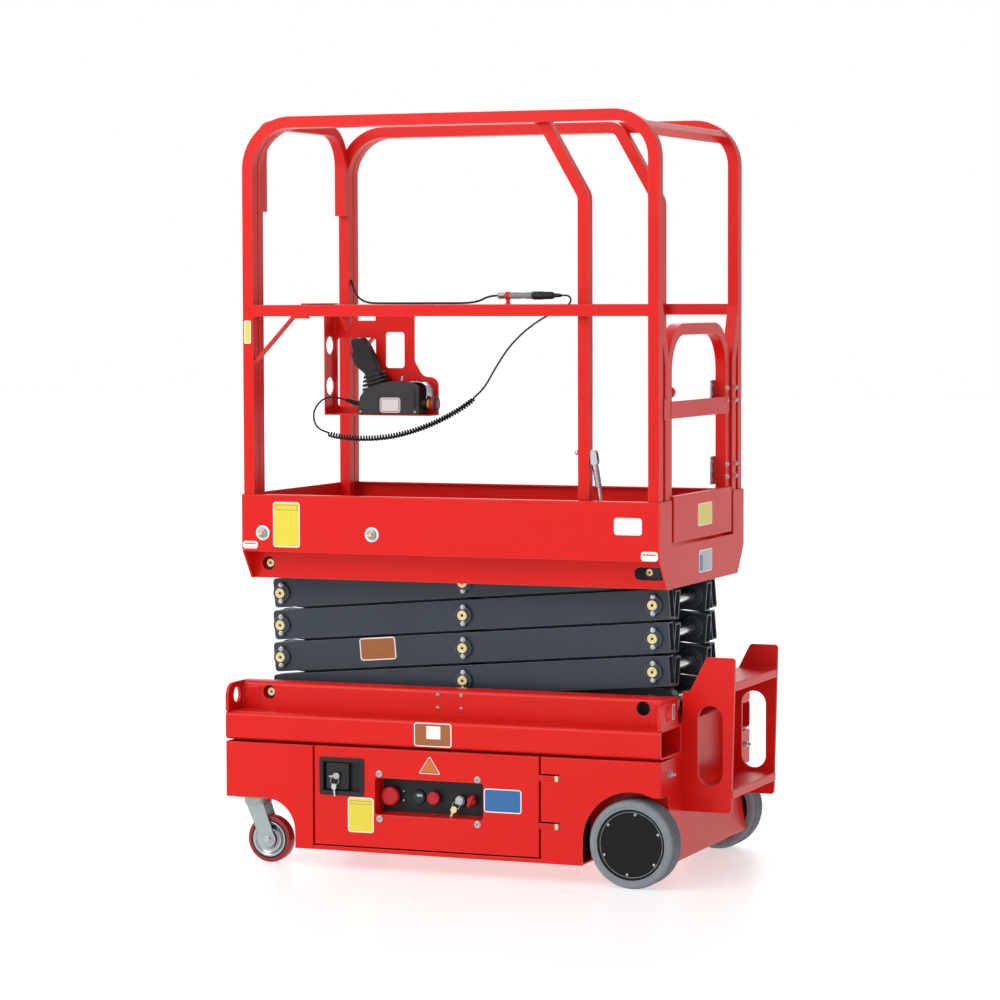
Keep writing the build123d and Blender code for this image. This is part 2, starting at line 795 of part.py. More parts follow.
def inner_point(k, s, angle):
    """Where a place on an inner arm lies when the scissors stand at an angle."""
    a = radians(angle)
    z = k * arm_length * sin(a) + s * arm_length * sin(a)
    return (scissor_x + (1 - s) * arm_length * cos(a), scissor_z + z)


def lift_line(angle):
    x0, z0 = inner_point(0, lift_from, angle)
    x1, z1 = inner_point(2, lift_to, angle)
    return hypot(x1 - x0, z1 - z0), degrees(atan2(z1 - z0, x1 - x0))


closed_length, closed_tilt = lift_line(rest_angle)
open_length, open_tilt = lift_line(raised_angle)
lift_x, lift_z = inner_point(0, lift_from, rest_angle)
barrel_diameter = 80.0
rod_diameter = 44.0
eye_diameter = 56.0
barrel_start = 55.0
barrel_end = 600.0


def cylinder_barrel():
    """Barrel along X with its eye at the origin."""
    eye_half = ear_gap - 1.5
    body = long_rod(0, 0, barrel_diameter, barrel_start, barrel_end)
    body += long_rod(0, 0, barrel_diameter + 10, barrel_end - 45, barrel_end)
    body += long_rod(0, 0, 50, 0, barrel_start + 1)
    body += cross_rod(0, 0, eye_diameter, -eye_half, eye_half)
    body -= cross_rod(0, 0, lift_pin + 2 * pin_clearance, -eye_half - 30, eye_half + 30)
    bore = rod_diameter + 2 * pin_clearance
    body -= long_rod(0, 0, bore, barrel_start + 40, barrel_end + 1)
    return body


def cylinder_rod():
    """Rod along X with its eye pin at the closed length."""
    eye_half = ear_gap - 3.0
    body = long_rod(0, 0, rod_diameter, barrel_start + 60, closed_length - 10)
    body += cross_rod(closed_length, 0, eye_diameter, -eye_half, eye_half)
    body += cross_rod(closed_length, 0, lift_pin, -ear_gap + 0.3, ear_gap - 0.3)
    return body


cylinder_place = Pos(lift_x, 0, lift_z) * Rot(0, -closed_tilt, 0)
save("cylinder_barrel", cylinder_place * cylinder_barrel())
save("cylinder_rod", cylinder_place * cylinder_rod())

# ---- platform -----------------------------------------------------------
slot_half = 17.0
slot_back = 8.0
slot_ahead = 46.0
end_set = 1.0
swing_gap = 30.0
strip_width = 22.0
strip_inset = 12.0
strip_stop = 58.5


def platform_side():
    """Toe board, ledge and skirt of one side, with the pivot hole and the slot."""
    x0 = platform_left + end_set + toe_wall
    x1 = platform_right - toe_wall
    y0 = -platform_half
    skirt_y = (-rail_face, -rail_face + skirt_wall)
    skirt_cut = (skirt_y[0] - 1, skirt_y[1] + 1)
    side = block((x0, x1), (y0, y0 + toe_lip), (kink_z, toe_top))
    side = fillet(front_edges(side).filter_by(Axis.X).group_by(Axis.Z)[-1], panel_edge)
    hollow_z = (kink_z + toe_wall, toe_top - toe_wall)
    side -= block((x0 - 1, x1 + 1), (y0 + toe_wall, y0 + toe_lip + 1), hollow_z)
    side += block((x0, x1), (y0 + toe_lip - 1, skirt_y[1]), (kink_z, kink_z + toe_wall))
    skirt = block((x0, x1), skirt_y, (skirt_bottom, deck_z))
    slot_x = (scissor_right - slot_back, scissor_right + slot_ahead)
    hole = pin_diameter + 6
    skirt -= cross_rod(scissor_x, platform_pivot_z, hole, *skirt_cut)
    skirt -= block(slot_x, skirt_cut, (platform_pivot_z - slot_half, platform_pivot_z + slot_half))
    for x in slot_x:
        skirt -= cross_rod(x, platform_pivot_z, 2 * slot_half, *skirt_cut)
    return side + skirt


def profile_points(top):
    low = platform_half - end_inset
    return [(-platform_half, top), (-platform_half, kink_z), (-low, skirt_bottom), (low, skirt_bottom),
            (platform_half, kink_z), (platform_half, top)]


def entry_end():
    """The end plate with the notch for the gate."""
    sheet = end_plate(profile_points(toe_top), platform_right - toe_wall, platform_right)
    return sheet - block((platform_right - toe_wall - 1, platform_right + 1), (-notch_half, notch_half),
                         (notch_z, toe_top + 1))


def closed_end():
    """The end plate behind the sliding end board, open between the sides for the arms to swing."""
    x0 = platform_left + end_set
    sheet = end_plate(profile_points(kink_z + toe_wall), x0, x0 + toe_wall)
    half = outer_face + swing_gap
    opening_z = (skirt_bottom - 1, kink_z + toe_wall + 1)
    return sheet - block((x0 - 1, x0 + toe_wall + 1), (-half, half), opening_z)


deck_left = platform_left + end_set + toe_wall
deck_half = rail_face - skirt_wall
deck_x = (deck_left, platform_right - toe_wall)
main_deck = block(deck_x, (-deck_half, deck_half), (deck_z - plate_deck, deck_z))
strip_x = (deck_left, platform_right - strip_stop)
strip_y = (strip_inset - deck_half, strip_inset + strip_width - deck_half)
main_deck += both(block(strip_x, strip_y, (deck_z, extension_deck_z - plate_deck)))
save("platform_sides", both(platform_side()))
save("platform_ends", Compound(children=[entry_end(), closed_end()]))
save("platform_deck", main_deck)
track_under = platform_pivot_z + roller_diameter / 2 + track_gap
deck_under = deck_z - plate_deck
platform_pivot = pivot_block(platform_pivot_z - pivot_half, deck_under, platform_pivot_z)
save("platform_tracks", both(roller_track(track_under, deck_under) + platform_pivot))

gate_top = toe_top + 455.7
gate_bend = 112.0
gate_foot = 9.0
gate_gap = 7.0
gate_inset = 11.0
gate_right = platform_right - gate_inset
gate_left = gate_right - rail_tube
gate_half = notch_half - 3.0
gate_pin_x = gate_left - 3.5
gate_pin_y = notch_half + 4.0
gate_knuckle = 14.0
gate_hinge_z = (toe_top + 55.7, toe_top + 261.7)
leaf_wall = 3.0
leaf_rise = 38.0
leaf_reach = 58.0
leaf_clear = 10.0
jamb_bend_z = toe_top + 355.0
jamb_bend = 70.0
latch_plate_gap = 5.0
latch_plate_z = (toe_top + 210.0, toe_top + 262.0)
brace_wall = 6.0
brace_half = 10.0
brace_foot = (rail_left + rail_tube, mid_rail_z - 118.0)
brace_profile = [
    brace_foot,
    (rail_left + 140.5, mid_rail_z),
    (rail_left + 185.5, mid_rail_z),
    (rail_left + 185.5, mid_rail_z - brace_wall),
    (rail_left + 143.0, mid_rail_z - brace_wall),
    (brace_foot[0], brace_foot[1] - 1.5 * brace_wall),
]


def main_rail():
    """The bent rail of one side with its mid rail, its brace and the gate jamb that leaves its post."""
    half = rail_tube / 2
    x0 = rail_left + half
    x1 = rail_right - half
    y = -rail_side + half
    top = rail_top - half
    points = [(x0, y, toe_top), (x0, y, top), (x1, y, top), (x1, y, toe_top)]
    hoop = square_tube(points, [rail_bend, rail_bend_entry], (0, 1, 0))
    hoop += block((x0, x1), (y - half, y + half), (mid_rail_z, mid_rail_top))
    hoop += side_plate(brace_profile, y - brace_half, y + brace_half)
    jamb_y = -gate_half - gate_gap - half
    route = [(x1, y, mid_rail_top - half / 2), (x1, jamb_y, jamb_bend_z), (x1, jamb_y, notch_z - gate_foot)]
    return hoop + square_tube(route, jamb_bend, (1, 0, 0))


def hinge_leaf(y, x, z, knuckle):
    """A flat leaf beside the gate's pin, cut back from the knuckle of the other leaf."""
    near_edge, far_edge = sorted(y, key=lambda v: abs(v - gate_pin_y))
    cut_back = near_edge + leaf_clear * (1 if far_edge > near_edge else -1)
    leaf = block(x, sorted((cut_back, far_edge)), (z - leaf_rise, z + leaf_rise))
    return leaf + block(x, sorted((near_edge, cut_back)), knuckle)


rails = main_rail() + far(main_rail())
bend_share = rail_bend_entry * cos(radians(45))
end_bar_size = 25.0
bar_x = rail_right - rail_tube / 2 - rail_bend_entry + bend_share
bar_z = rail_top - rail_tube / 2 - rail_bend_entry + bend_share
end_bar = Pos(bar_x, 0, bar_z) * Rot(0, 45, 0) * Box(end_bar_size, 2 * rail_side - rail_tube, end_bar_size)
rails += end_bar
jamb_face = rail_right - rail_tube
for z in gate_hinge_z:
    rails += post(gate_pin_x, gate_pin_y, gate_knuckle, z - knuckle_height, z)
    rails += post(gate_pin_x, gate_pin_y, hinge_pin, z - 1, z + knuckle_height - 4)
    rails += hinge_leaf((gate_pin_y, gate_pin_y + leaf_reach), (jamb_face - leaf_wall, jamb_face), z,
                        (z - knuckle_height, z))
latch_plate_y = (-rail_side + rail_tube + latch_plate_gap, -gate_half - gate_gap)
latch_plate = block((rail_right, rail_right + leaf_wall), latch_plate_y, latch_plate_z)
rails += latch_plate
save("main_rails", rails)

# ---- extension deck -----------------------------------------------------
extension_left = platform_left
slope_bend = 40.0


def extension_rail():
    """The nested rail of one side, sloped down to its rear post."""
    half = rail_tube / 2
    x0 = rail_left + half
    x1 = extension_rear - half
    y = -nest_side + half
    top = rail_top - half
    points = [(x0, y, extension_deck_z), (x0, y, top), (x1 - extension_slope_run, y, top),
              (x1, y, top - extension_slope_drop), (x1, y, extension_deck_z)]
    hoop = square_tube(points, [rail_bend, slope_bend, slope_bend], (0, 1, 0))
    hoop += block((x0, x1), (y - half, y + half), (mid_rail_z, mid_rail_top))
    return hoop


extension = extension_rail() + far(extension_rail())
post_x = (rail_left, rail_left + rail_tube)
extension += block(post_x, (-nest_side + 1, nest_side - 1), (mid_rail_z, mid_rail_top))
end_hoop_y = nest_side - rail_tube - end_hoop_depth / 2
end_hoop_top = rail_top - end_hoop_depth / 2
end_hoop_foot = rail_top - end_hoop_leg
end_hoop_x = rail_left + rail_tube / 2
end_hoop_route = [
    (end_hoop_x, -end_hoop_y, end_hoop_foot),
    (end_hoop_x, -end_hoop_y, end_hoop_top),
    (end_hoop_x, end_hoop_y, end_hoop_top),
    (end_hoop_x, end_hoop_y, end_hoop_foot),
]
extension += square_tube(end_hoop_route, end_hoop_bend, (1, 0, 0), end_hoop_depth)
save("extension_rails", extension)

deck_past_post = 20.0
deck_plate = block((rail_left, extension_rear + deck_past_post), (-nest_side, nest_side),
                   (extension_deck_z - plate_deck, extension_deck_z))
save("extension_deck", deck_plate)
end_board = block((extension_left, rail_left), (-platform_half, platform_half),
                  (kink_z + toe_wall + end_set, toe_top))
save("extension_end_board", end_board)

# ---- gate ---------------------------------------------------------------
mid_bar_z = (toe_top + 210.0, toe_top + 255.0)
mid_bar_wall = 4.0
kick_half = 240.0
kick_rise = 10.0
kick_fold = 12.0


def gate():
    """Bent frame with a flat bar, a kick plate with its folded edge, and two hinge leaves."""
    half = rail_tube / 2
    x = (gate_left + gate_right) / 2
    y = gate_half - half
    foot = notch_z + gate_foot
    points = [(x, -y, foot), (x, -y, gate_top - half), (x, y, gate_top - half), (x, y, foot)]
    frame = square_tube(points, gate_bend, (1, 0, 0))
    frame += block((gate_right - 1, gate_right + mid_bar_wall), (-y, y), mid_bar_z)
    kick_top = toe_top + kick_rise
    kick = block((gate_right - 1, platform_right), (-kick_half, kick_half), (foot, kick_top))
    kick -= block((gate_right - 2, platform_right - toe_wall), (-y + half, y - half),
                  (foot + toe_wall, kick_top - toe_wall))
    frame += kick
    frame += block((gate_left, gate_right), (-y, y), (foot, foot + rail_tube / 2))
    for z in gate_hinge_z:
        frame += hinge_leaf((gate_pin_y, gate_half - leaf_reach - 9), (gate_left - leaf_wall, gate_left), z,
                            (z + hinge_rise, z + leaf_rise))
        frame += post(gate_pin_x, gate_pin_y, gate_knuckle, z + hinge_rise, z + knuckle_height)
        frame -= post(gate_pin_x, gate_pin_y, hinge_pin + 2 * pin_clearance, z, z + leaf_rise + 1)
    return frame


save("gate", gate())

# ---- control station ----------------------------------------------------
station_x = rail_left + 31.5
station_y = (105.0, 172.0)
station_drop = 278.0
station_floor = mid_rail_z - station_drop
station_sheet = 3.0
station_reach = 319.0
hook_y = (31.0, 197.0)
hook_gap = 0.5
hook_wall = 3.5
hook_drop = 20.0
flange_hole = 50.0
flange_hole_rise = (80.0, 194.0)


def at_station(*offsets):
    """Places in the XZ plane given from the foot of the bracket's flange."""
    return [(station_x + x, station_floor + z) for x, z in offsets]


def station_bracket():
    """Back plate with its windows and notches, flange, shelf and the hook over the end rail."""
    y0, y1 = station_y
    top = mid_rail_z - 1 - station_floor
    outline = at_station((0, 0), (station_reach, 0), (station_reach, 104), (272, 108), (247, 150), (247, top),
                         (129, top), (129, top - 14), (74, top - 14), (74, top), (68, top), (40, top - 42),
                         (16, top), (0, top))
    radii = [0.1, 0.1, 24, 28, 28, 3, 0.5, 2, 2, 0.5, 0.5, 3, 0.5, 0.1]
    back = cut_plate(outline, radii, y1 - station_sheet, y1)
    cut_y = (y1 - station_sheet - 1, y1 + 1)
    for x, z in (((160.0, 217.0), (131.0, 231.0)), ((12.0, 130.0), (23.0, 215.0))):
        window_x = (station_x + x[0], station_x + x[1])
        window = block(window_x, cut_y, (station_floor + z[0], station_floor + z[1]))
        back -= fillet(window.edges().filter_by(Axis.Y), 9)
    hook_z = mid_rail_top + hook_gap
    flange = block((station_x, station_x + station_sheet), (y0, y1), (station_floor, hook_z))
    for rise in flange_hole_rise:
        hole_x = (station_x - 1, station_x + station_sheet + 1)
        flange -= long_rod((y0 + y1) / 2, station_floor + rise, flange_hole, *hole_x)
    hook = block((platform_left, station_x + station_sheet), hook_y, (hook_z, hook_z + hook_wall))
    hook += block((platform_left, rail_left - hook_gap), hook_y, (hook_z - hook_drop, hook_z + hook_wall))
    shelf_z = (station_floor, station_floor + station_sheet)
    shelf = block((station_x, station_x + station_reach), (y0, y1), shelf_z)
    return back + flange + hook + shelf


save("station_bracket", station_bracket())
box_y = (108.0, 166.0)
box_outline = at_station((101, 3), (101, 24), (106, 50), (123, 74), (196, 95), (270, 91), (286, 84), (286, 3))
station_box = cut_plate(box_outline, [2, 8, 12, 10, 20, 6, 8, 2], *box_y)
station_box = fillet(station_box.edges().group_by(Axis.Y)[0], 2)
button_y = (box_y[0] + box_y[1]) / 2
button_z = station_floor + 33.0
stop_button_table = (
    # x from, x to, diameter, edge radius
    (station_x + 280.0, station_x + 302.0, 30.0, 1.0),
    (station_x + 301.0, station_x + 316.0, 24.0, 1.0),
    (station_x + 315.0, station_x + 331.0, 42.0, 5.0),
)
for x0, x1, diameter, edge in stop_button_table:
    disc = long_rod(button_y, button_z, diameter, x0, x1)
    station_box += fillet(disc.edges().group_by(Axis.X)[-1], edge)
save("station_box", station_box)
station_exit = (-511.0, 130.0, 1222.0)

boot_lean = 16.0
boot_foot = (station_x + 150.0, station_floor + 78.0)
boot_table = (
    # height along the stick of each fold, its length, its depth
    (0.0, 84.0, 54.0),
    (11.0, 78.0, 52.0),
    (22.0, 70.0, 48.0),
    (33.0, 62.0, 44.0),
)
fold_height = 6.0
grip_outline = at_station((73, 210), (76, 190), (80, 182), (76, 163), (87, 137), (119, 112), (156, 124),
                          (141, 166), (123, 199), (108, 216))
grip_radii = [8, 4, 4, 4, 6, 3, 3, 20, 20, 8]
stick = Pos(boot_foot[0], button_y, boot_foot[1]) * Rot(0, -boot_lean, 0)
boot = stick * extrude(RectangleRounded(48.0, 36.0, 8.0), 44.0)
for height, length, depth in boot_table:
    fold = extrude(RectangleRounded(length, depth, 12.0), fold_height, taper=20)
    boot += stick * Pos(0, 0, height) * fold
boot -= block((-600.0, -300.0), (0.0, 300.0), (0.0, station_floor + 60))
grip = cut_plate(grip_outline, grip_radii, button_y - 15, button_y + 15)
grip = fillet(grip.edges().group_by(Axis.Y)[0] + grip.edges().group_by(Axis.Y)[-1], 3)
save("joystick", (grip + boot) - station_box)


# ---- connector, harness and hanging cord --------------------------------
connector_y = nest_side - rail_tube / 2
connector_z = 1524.0
connector_table = (
    # x from, x to, diameter
    (-163.0, -141.0, 22.0),
    (-141.0, -59.0, 19.0),
    (-59.0, 4.0, 24.0),
    (4.0, 26.0, 13.0),
)
connector = block((-139.0, -127.0), (connector_y - 10, connector_y + 10), (mid_rail_top, connector_z))
for x0, x1, diameter in connector_table:
    connector += long_rod(connector_y, connector_z, diameter, x0, x1)
save("connector", connector)

lead_diameter = 6.0
curl_diameter = 18.0
rail_rest = mid_rail_top + lead_diameter / 2 + pin_clearance


def corner_radii(points):
    """The largest even arc at each corner of a route."""
    radii = []
    for a, b, c in zip(points, points[1:], points[2:]):
        into = Vector(*b) - Vector(*a)
        out = Vector(*c) - Vector(*b)
        turn = radians(into.get_angle(out))
        radii.append(0.45 * min(into.length, out.length) / tan(turn / 2))
    return radii


def tube(points, diameter):
    """A round tube of straight runs joined by tangent arcs."""
    radii = corner_radii(points)
    path = FilletPolyline(*points, radius=radii)
    solid = sweep(Plane(path @ 0, z_dir=path % 0) * Circle(diameter / 2), path)
    print("tube radii", [round(r, 1) for r in radii], "length", round(path.length, 1),
          "volume ratio", round(solid.volume / (path.length * Circle(diameter / 2).area), 4))
    return solid


harness_route = [
    (-163.0, connector_y, connector_z),
    (-190.0, connector_y, connector_z),
    (-230.0, connector_y, rail_rest),
    (-330.0, connector_y + 1, rail_rest),
    (-430.0, connector_y, rail_rest),
    (-520.0, connector_y + 1, rail_rest),
    (-564.0, connector_y, rail_rest + 1),
    (-592.0, connector_y, rail_rest + 16),
    (-606.0, connector_y, rail_rest + 42),
    (-614.0, connector_y, rail_rest + 68),
]
post_right = rail_left + rail_tube
harness = tube(harness_route, lead_diameter)
post_y = (nest_side - rail_tube, nest_side)
harness -= block((post_right - 20, post_right), post_y, (rail_rest, rail_rest + 100))
save("harness_cable", harness)

cord_route = [
    (-553.0, 112.0, 1236.0),
    (-578.2, 101.2, 1244.4),
    (-605.0, 86.0, 1240.0),
    (-628.0, 78.0, 1215.0),
    (-634.0, 76.0, 1185.0),
    (-622.0, 78.0, 1155.0),
    (-590.0, 82.0, 1138.0),
    (-520.0, 90.0, 1128.0),
    (-440.0, 104.0, 1129.0),
    (-365.0, 122.0, 1144.0),
    (-295.0, 146.0, 1171.0),
    (-240.0, 170.0, 1202.0),
    (-196.0, 193.0, 1236.0),
    (-170.0, 207.0, 1268.0),
    (-146.0, 220.0, 1318.0),
    (-112.0, 238.0, 1378.0),
    (-76.0, 250.0, 1418.0),
    (-36.0, 259.0, 1450.0),
    (8.0, 266.0, 1475.0),
    (50.0, 267.0, 1491.0),
    (61.7, 279.0, 1508.6),
    (49.5, connector_y, connector_z),
    (26.0, connector_y, connector_z),
]


def between(a, b, share):
    return tuple(p + (q - p) * share for p, q in zip(a, b))


relief_radius = 8.0
curl_first_index, curl_last_index = 6, 11
curl_start = between(cord_route[curl_first_index], cord_route[curl_first_index + 1], 0.2)
curl_stop = between(cord_route[curl_last_index], cord_route[curl_last_index + 1], 0.8)
save("cord_lead_station", tube(cord_route[:curl_first_index + 1] + [curl_start], lead_diameter))
curl_points = cord_route[curl_first_index + 1:curl_last_index + 1]
save("cord_curl", tube([curl_start] + curl_points + [curl_stop], curl_diameter))
save("cord_lead_connector", tube([curl_stop] + cord_route[curl_last_index + 1:], lead_diameter))
relief_axis = Vector(*cord_route[0]) - Vector(*station_exit)
relief_length = relief_axis.length
relief_root = Vector(*station_exit) - relief_axis.normalized() * relief_radius
relief = extrude(Plane(relief_root, z_dir=relief_axis) * Circle(relief_radius), relief_length + relief_radius)
relief -= block((station_exit[0], station_exit[0] + 40), station_y, (station_floor, station_floor + 80))
save("strain_relief", relief)
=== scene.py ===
import math
import bpy
import bmesh
from mathutils import Matrix, Vector


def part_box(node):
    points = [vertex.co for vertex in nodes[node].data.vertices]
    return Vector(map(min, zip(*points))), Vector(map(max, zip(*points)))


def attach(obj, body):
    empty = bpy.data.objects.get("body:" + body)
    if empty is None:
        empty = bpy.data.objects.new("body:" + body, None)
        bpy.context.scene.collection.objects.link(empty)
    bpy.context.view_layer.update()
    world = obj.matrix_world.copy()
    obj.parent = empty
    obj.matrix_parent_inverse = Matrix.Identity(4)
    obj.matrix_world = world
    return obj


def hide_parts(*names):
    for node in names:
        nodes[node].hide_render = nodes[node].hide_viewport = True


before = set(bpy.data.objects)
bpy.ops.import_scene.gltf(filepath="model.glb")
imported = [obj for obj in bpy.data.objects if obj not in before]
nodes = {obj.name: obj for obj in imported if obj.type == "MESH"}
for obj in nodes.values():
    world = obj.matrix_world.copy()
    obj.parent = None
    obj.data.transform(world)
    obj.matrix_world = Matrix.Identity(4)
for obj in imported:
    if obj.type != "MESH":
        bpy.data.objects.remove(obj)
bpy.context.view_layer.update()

mm = 0.001
nearward, farward, rightward, upward = (0, -1, 0), (0, 1, 0), (1, 0, 0), (0, 0, 1)
sides = ((-1, "near"), (1, "far"))
print("frame loaded:", len(nodes), "nodes")


# colour and shader helpers
def linearColour(hexText):
    channels = []
    for start in (0, 2, 4):
        value = int(hexText[start:start + 2], 16) / 255
        channels.append(value / 12.92 if value <= 0.04045 else ((value + 0.055) / 1.055) ** 2.4)
    return (*channels, 1.0)


def addNode(tree, kind, settings=None, links=None):
    # settings are the node's own properties or its input values; links give (node, output) per input
    node = tree.nodes.new(kind)
    for key, value in (settings or {}).items():
        if isinstance(key, str) and hasattr(node, key):
            setattr(node, key, value)
        else:
            node.inputs[key].default_value = value
    for key, (source, output) in (links or {}).items():
        tree.links.new(source.outputs[output], node.inputs[key])
    return node


def surfaceOf(name, look):
    # common build-up: base shader, a cloudy colour change, a fine grain as bump and softened edges
    material = bpy.data.materials.new(name)
    material.use_nodes = True
    tree = material.node_tree
    shader = tree.nodes["Principled BSDF"]
    for key, value in {"Specular IOR Level": 0.3, **look["shader"]}.items():
        shader.inputs[key].default_value = value
    place = addNode(tree, "ShaderNodeTexCoord")
    stretch = addNode(tree, "ShaderNodeMapping", {"Scale": look.get("streak", (1, 1, 1))},
                      {"Vector": (place, "Object")})
    cloud = addNode(tree, "ShaderNodeTexNoise", {"Scale": 1 / (look["cloudSize"] * mm), "Detail": 4.0},
                    {"Vector": (stretch, "Vector")})
    grain = addNode(tree, "ShaderNodeTexNoise", {"Scale": 1 / (look["grainSize"] * mm), "Detail": 2.0},
                    {"Vector": (stretch, "Vector")})
    # in a Mix node input 0 is the share, 6 and 7 are the colours and output 2 is what they give
    tint = addNode(tree, "ShaderNodeMix", {"data_type": "RGBA", 6: linearColour(look["colour"]),
                                           7: linearColour(look["shade"])}, {0: (cloud, "Fac")})
    shown = (tint, 2)
    edge = addNode(tree, "ShaderNodeBevel", {"samples": 4, "Radius": look["edge"] * mm})
    if "wearAndHighlight" in look:
        # paint thinned at the edges, and on the red coat a painted highlight along them: the bevelled normal
        # leaves the flat one only there
        wearAndHighlightStart, wearAndHighlightFull = 0.985, 0.86  # cosines between the two normals
        flat = addNode(tree, "ShaderNodeNewGeometry")
        turn = addNode(tree, "ShaderNodeVectorMath", {"operation": "DOT_PRODUCT"},
                       {0: (edge, "Normal"), 1: (flat, "Normal")})
        rubAndHighlight = addNode(tree, "ShaderNodeMapRange",
                      {"From Min": wearAndHighlightStart, "From Max": wearAndHighlightFull, "To Max": look["wearAndHighlightShare"]},
                      {"Value": (turn, "Value")})
        wornAndHighlighted = addNode(tree, "ShaderNodeMix", {"data_type": "RGBA", 7: linearColour(look["wearAndHighlight"])},
                       {0: (rubAndHighlight, "Result"), 6: shown})
        shown = (wornAndHighlighted, 2)
    tree.links.new(shown[0].outputs[shown[1]], shader.inputs["Base Color"])
    gloss = addNode(tree, "ShaderNodeMapRange", {"To Min": look["roughness"] - look["spread"],
                                                 "To Max": look["roughness"] + look["spread"]},
                    {"Value": (cloud, "Fac")})
    tree.links.new(gloss.outputs["Result"], shader.inputs["Roughness"])
    relief = addNode(tree, "ShaderNodeBump", {"Strength": look["bump"], "Distance": look["bumpDepth"] * mm},
                     {"Height": (grain, "Fac"), "Normal": (edge, "Normal")})
    tree.links.new(relief.outputs["Normal"], shader.inputs["Normal"])
    return material, tree, relief, stretch


def redPowderCoat():
    # polyester powder coat on folded steel: strong even red, soft gloss, a faint orange peel
    return surfaceOf("redPowderCoat", {
        "colour": "d8150d", "shade": "d0120b", "cloudSize": 240, "grainSize": 3.2, "edge": 2.6,
        "roughness": 0.34, "spread": 0.05, "bump": 0.25, "bumpDepth": 0.05,
        # the pale edge colour is a painted highlight along the folded edges, with some wear mixed in
        "wearAndHighlight": "f0766c", "wearAndHighlightShare": 0.7,
        "shader": {"IOR": 1.5, "Specular IOR Level": 0.22, "Coat Weight": 0.05, "Coat Roughness": 0.16},
    })[0]


def redDeckCoat():
    # the same coat on five-bar floor plate: raised bars in crossed pairs catch the light
    material, tree, relief, stretch = surfaceOf("redDeckCoat", {
        "colour": "bf130d", "shade": "ae100b", "cloudSize": 150, "grainSize": 3.2, "edge": 0.8,
        "roughness": 0.42, "spread": 0.07, "bump": 0.3, "bumpDepth": 0.05,
        "shader": {"IOR": 1.5, "Coat Weight": 0.1, "Coat Roughness": 0.3},
    })
    bar = {"turn": 45, "pairSize": 28, "size": 7, "from": 0.55, "to": 0.8, "strength": 0.6, "height": 1.2}
    waveTurn = 20  # the wave node's own multiplier
    turned = addNode(tree, "ShaderNodeMapping", {"Rotation": (0, 0, math.radians(bar["turn"]))},
                     {"Vector": (stretch, "Vector")})
    pairs = addNode(tree, "ShaderNodeTexChecker", {"Scale": 1 / (bar["pairSize"] * mm)},
                    {"Vector": (turned, "Vector")})
    ribs, crossRibs = [
        addNode(tree, "ShaderNodeTexWave",
                {"Scale": 1 / (waveTurn * bar["size"] * mm), "bands_direction": way},
                {"Vector": (turned, "Vector")}) for way in "XY"]
    either = addNode(tree, "ShaderNodeMix", {"data_type": "FLOAT"},
                     {0: (pairs, "Fac"), 2: (ribs, "Fac"), 3: (crossRibs, "Fac")})
    raised = addNode(tree, "ShaderNodeMapRange", {"From Min": bar["from"], "From Max": bar["to"]},
                     {"Value": (either, 0)})
    tread = addNode(tree, "ShaderNodeBump", {"Strength": bar["strength"], "Distance": bar["height"] * mm},
                    {"Height": (raised, "Result"), "Normal": (relief, "Normal")})
    tree.links.new(tread.outputs["Normal"], tree.nodes["Principled BSDF"].inputs["Normal"])
    return material


def slatePowderCoat():
    # satin powder coat on box section: dark blue-grey with pale rubbed corners
    return surfaceOf("slatePowderCoat", {
        "colour": "333d47", "shade": "2b343e", "cloudSize": 170, "grainSize": 3.0, "edge": 1.6,
        "roughness": 0.36, "spread": 0.06, "bump": 0.25, "bumpDepth": 0.05,
        "wearAndHighlight": "9aa5ae", "wearAndHighlightShare": 0.75,
        "shader": {"IOR": 1.5, "Coat Weight": 0.1, "Coat Roughness": 0.22},
    })[0]


def blackEnamel():
    # sprayed enamel on the cylinder and pump: deep black with a wet gloss
    return surfaceOf("blackEnamel", {
        "colour": "1a1b1d", "shade": "121314", "cloudSize": 90, "grainSize": 2.5, "edge": 1.0,
        "roughness": 0.3, "spread": 0.06, "bump": 0.2, "bumpDepth": 0.04,
        "shader": {"IOR": 1.5, "Coat Weight": 0.3, "Coat Roughness": 0.12},
    })[0]


def hubPaint():
    # black paint over a pressed disc: matt, dusty, with scuffs
    return surfaceOf("hubPaint", {
        "colour": "0f1011", "shade": "191b1d", "cloudSize": 35, "grainSize": 1.6, "edge": 0.8,
        "roughness": 0.5, "spread": 0.12, "bump": 0.3, "bumpDepth": 0.05,
        "wearAndHighlight": "8d9195", "wearAndHighlightShare": 0.6,
        "shader": {"IOR": 1.5, "Specular IOR Level": 0.15},
    })[0]


def blackNylon():
    # glass-filled nylon: near black with a fine spark-eroded grain
    return surfaceOf("blackNylon", {
        "colour": "1c1d1f", "shade": "151617", "cloudSize": 40, "grainSize": 0.7, "edge": 0.8,
        "roughness": 0.46, "spread": 0.06, "bump": 0.35, "bumpDepth": 0.05,
        "shader": {"IOR": 1.53},
    })[0]


def greyAbs():
    # textured ABS housing: charcoal, dull, soft-edged
    return surfaceOf("greyAbs", {
        "colour": "3a3c3f", "shade": "323437", "cloudSize": 60, "grainSize": 0.8, "edge": 1.5,
        "roughness": 0.5, "spread": 0.05, "bump": 0.4, "bumpDepth": 0.06,
        "shader": {"IOR": 1.53},
    })[0]


def paleNylon():
    # pale grey cable-joint body: smooth moulding with a dull shine
    return surfaceOf("paleNylon", {
        "colour": "8c9093", "shade": "7e8386", "cloudSize": 30, "grainSize": 0.8, "edge": 0.6,
        "roughness": 0.4, "spread": 0.05, "bump": 0.2, "bumpDepth": 0.04,
        "shader": {"IOR": 1.53},
    })[0]


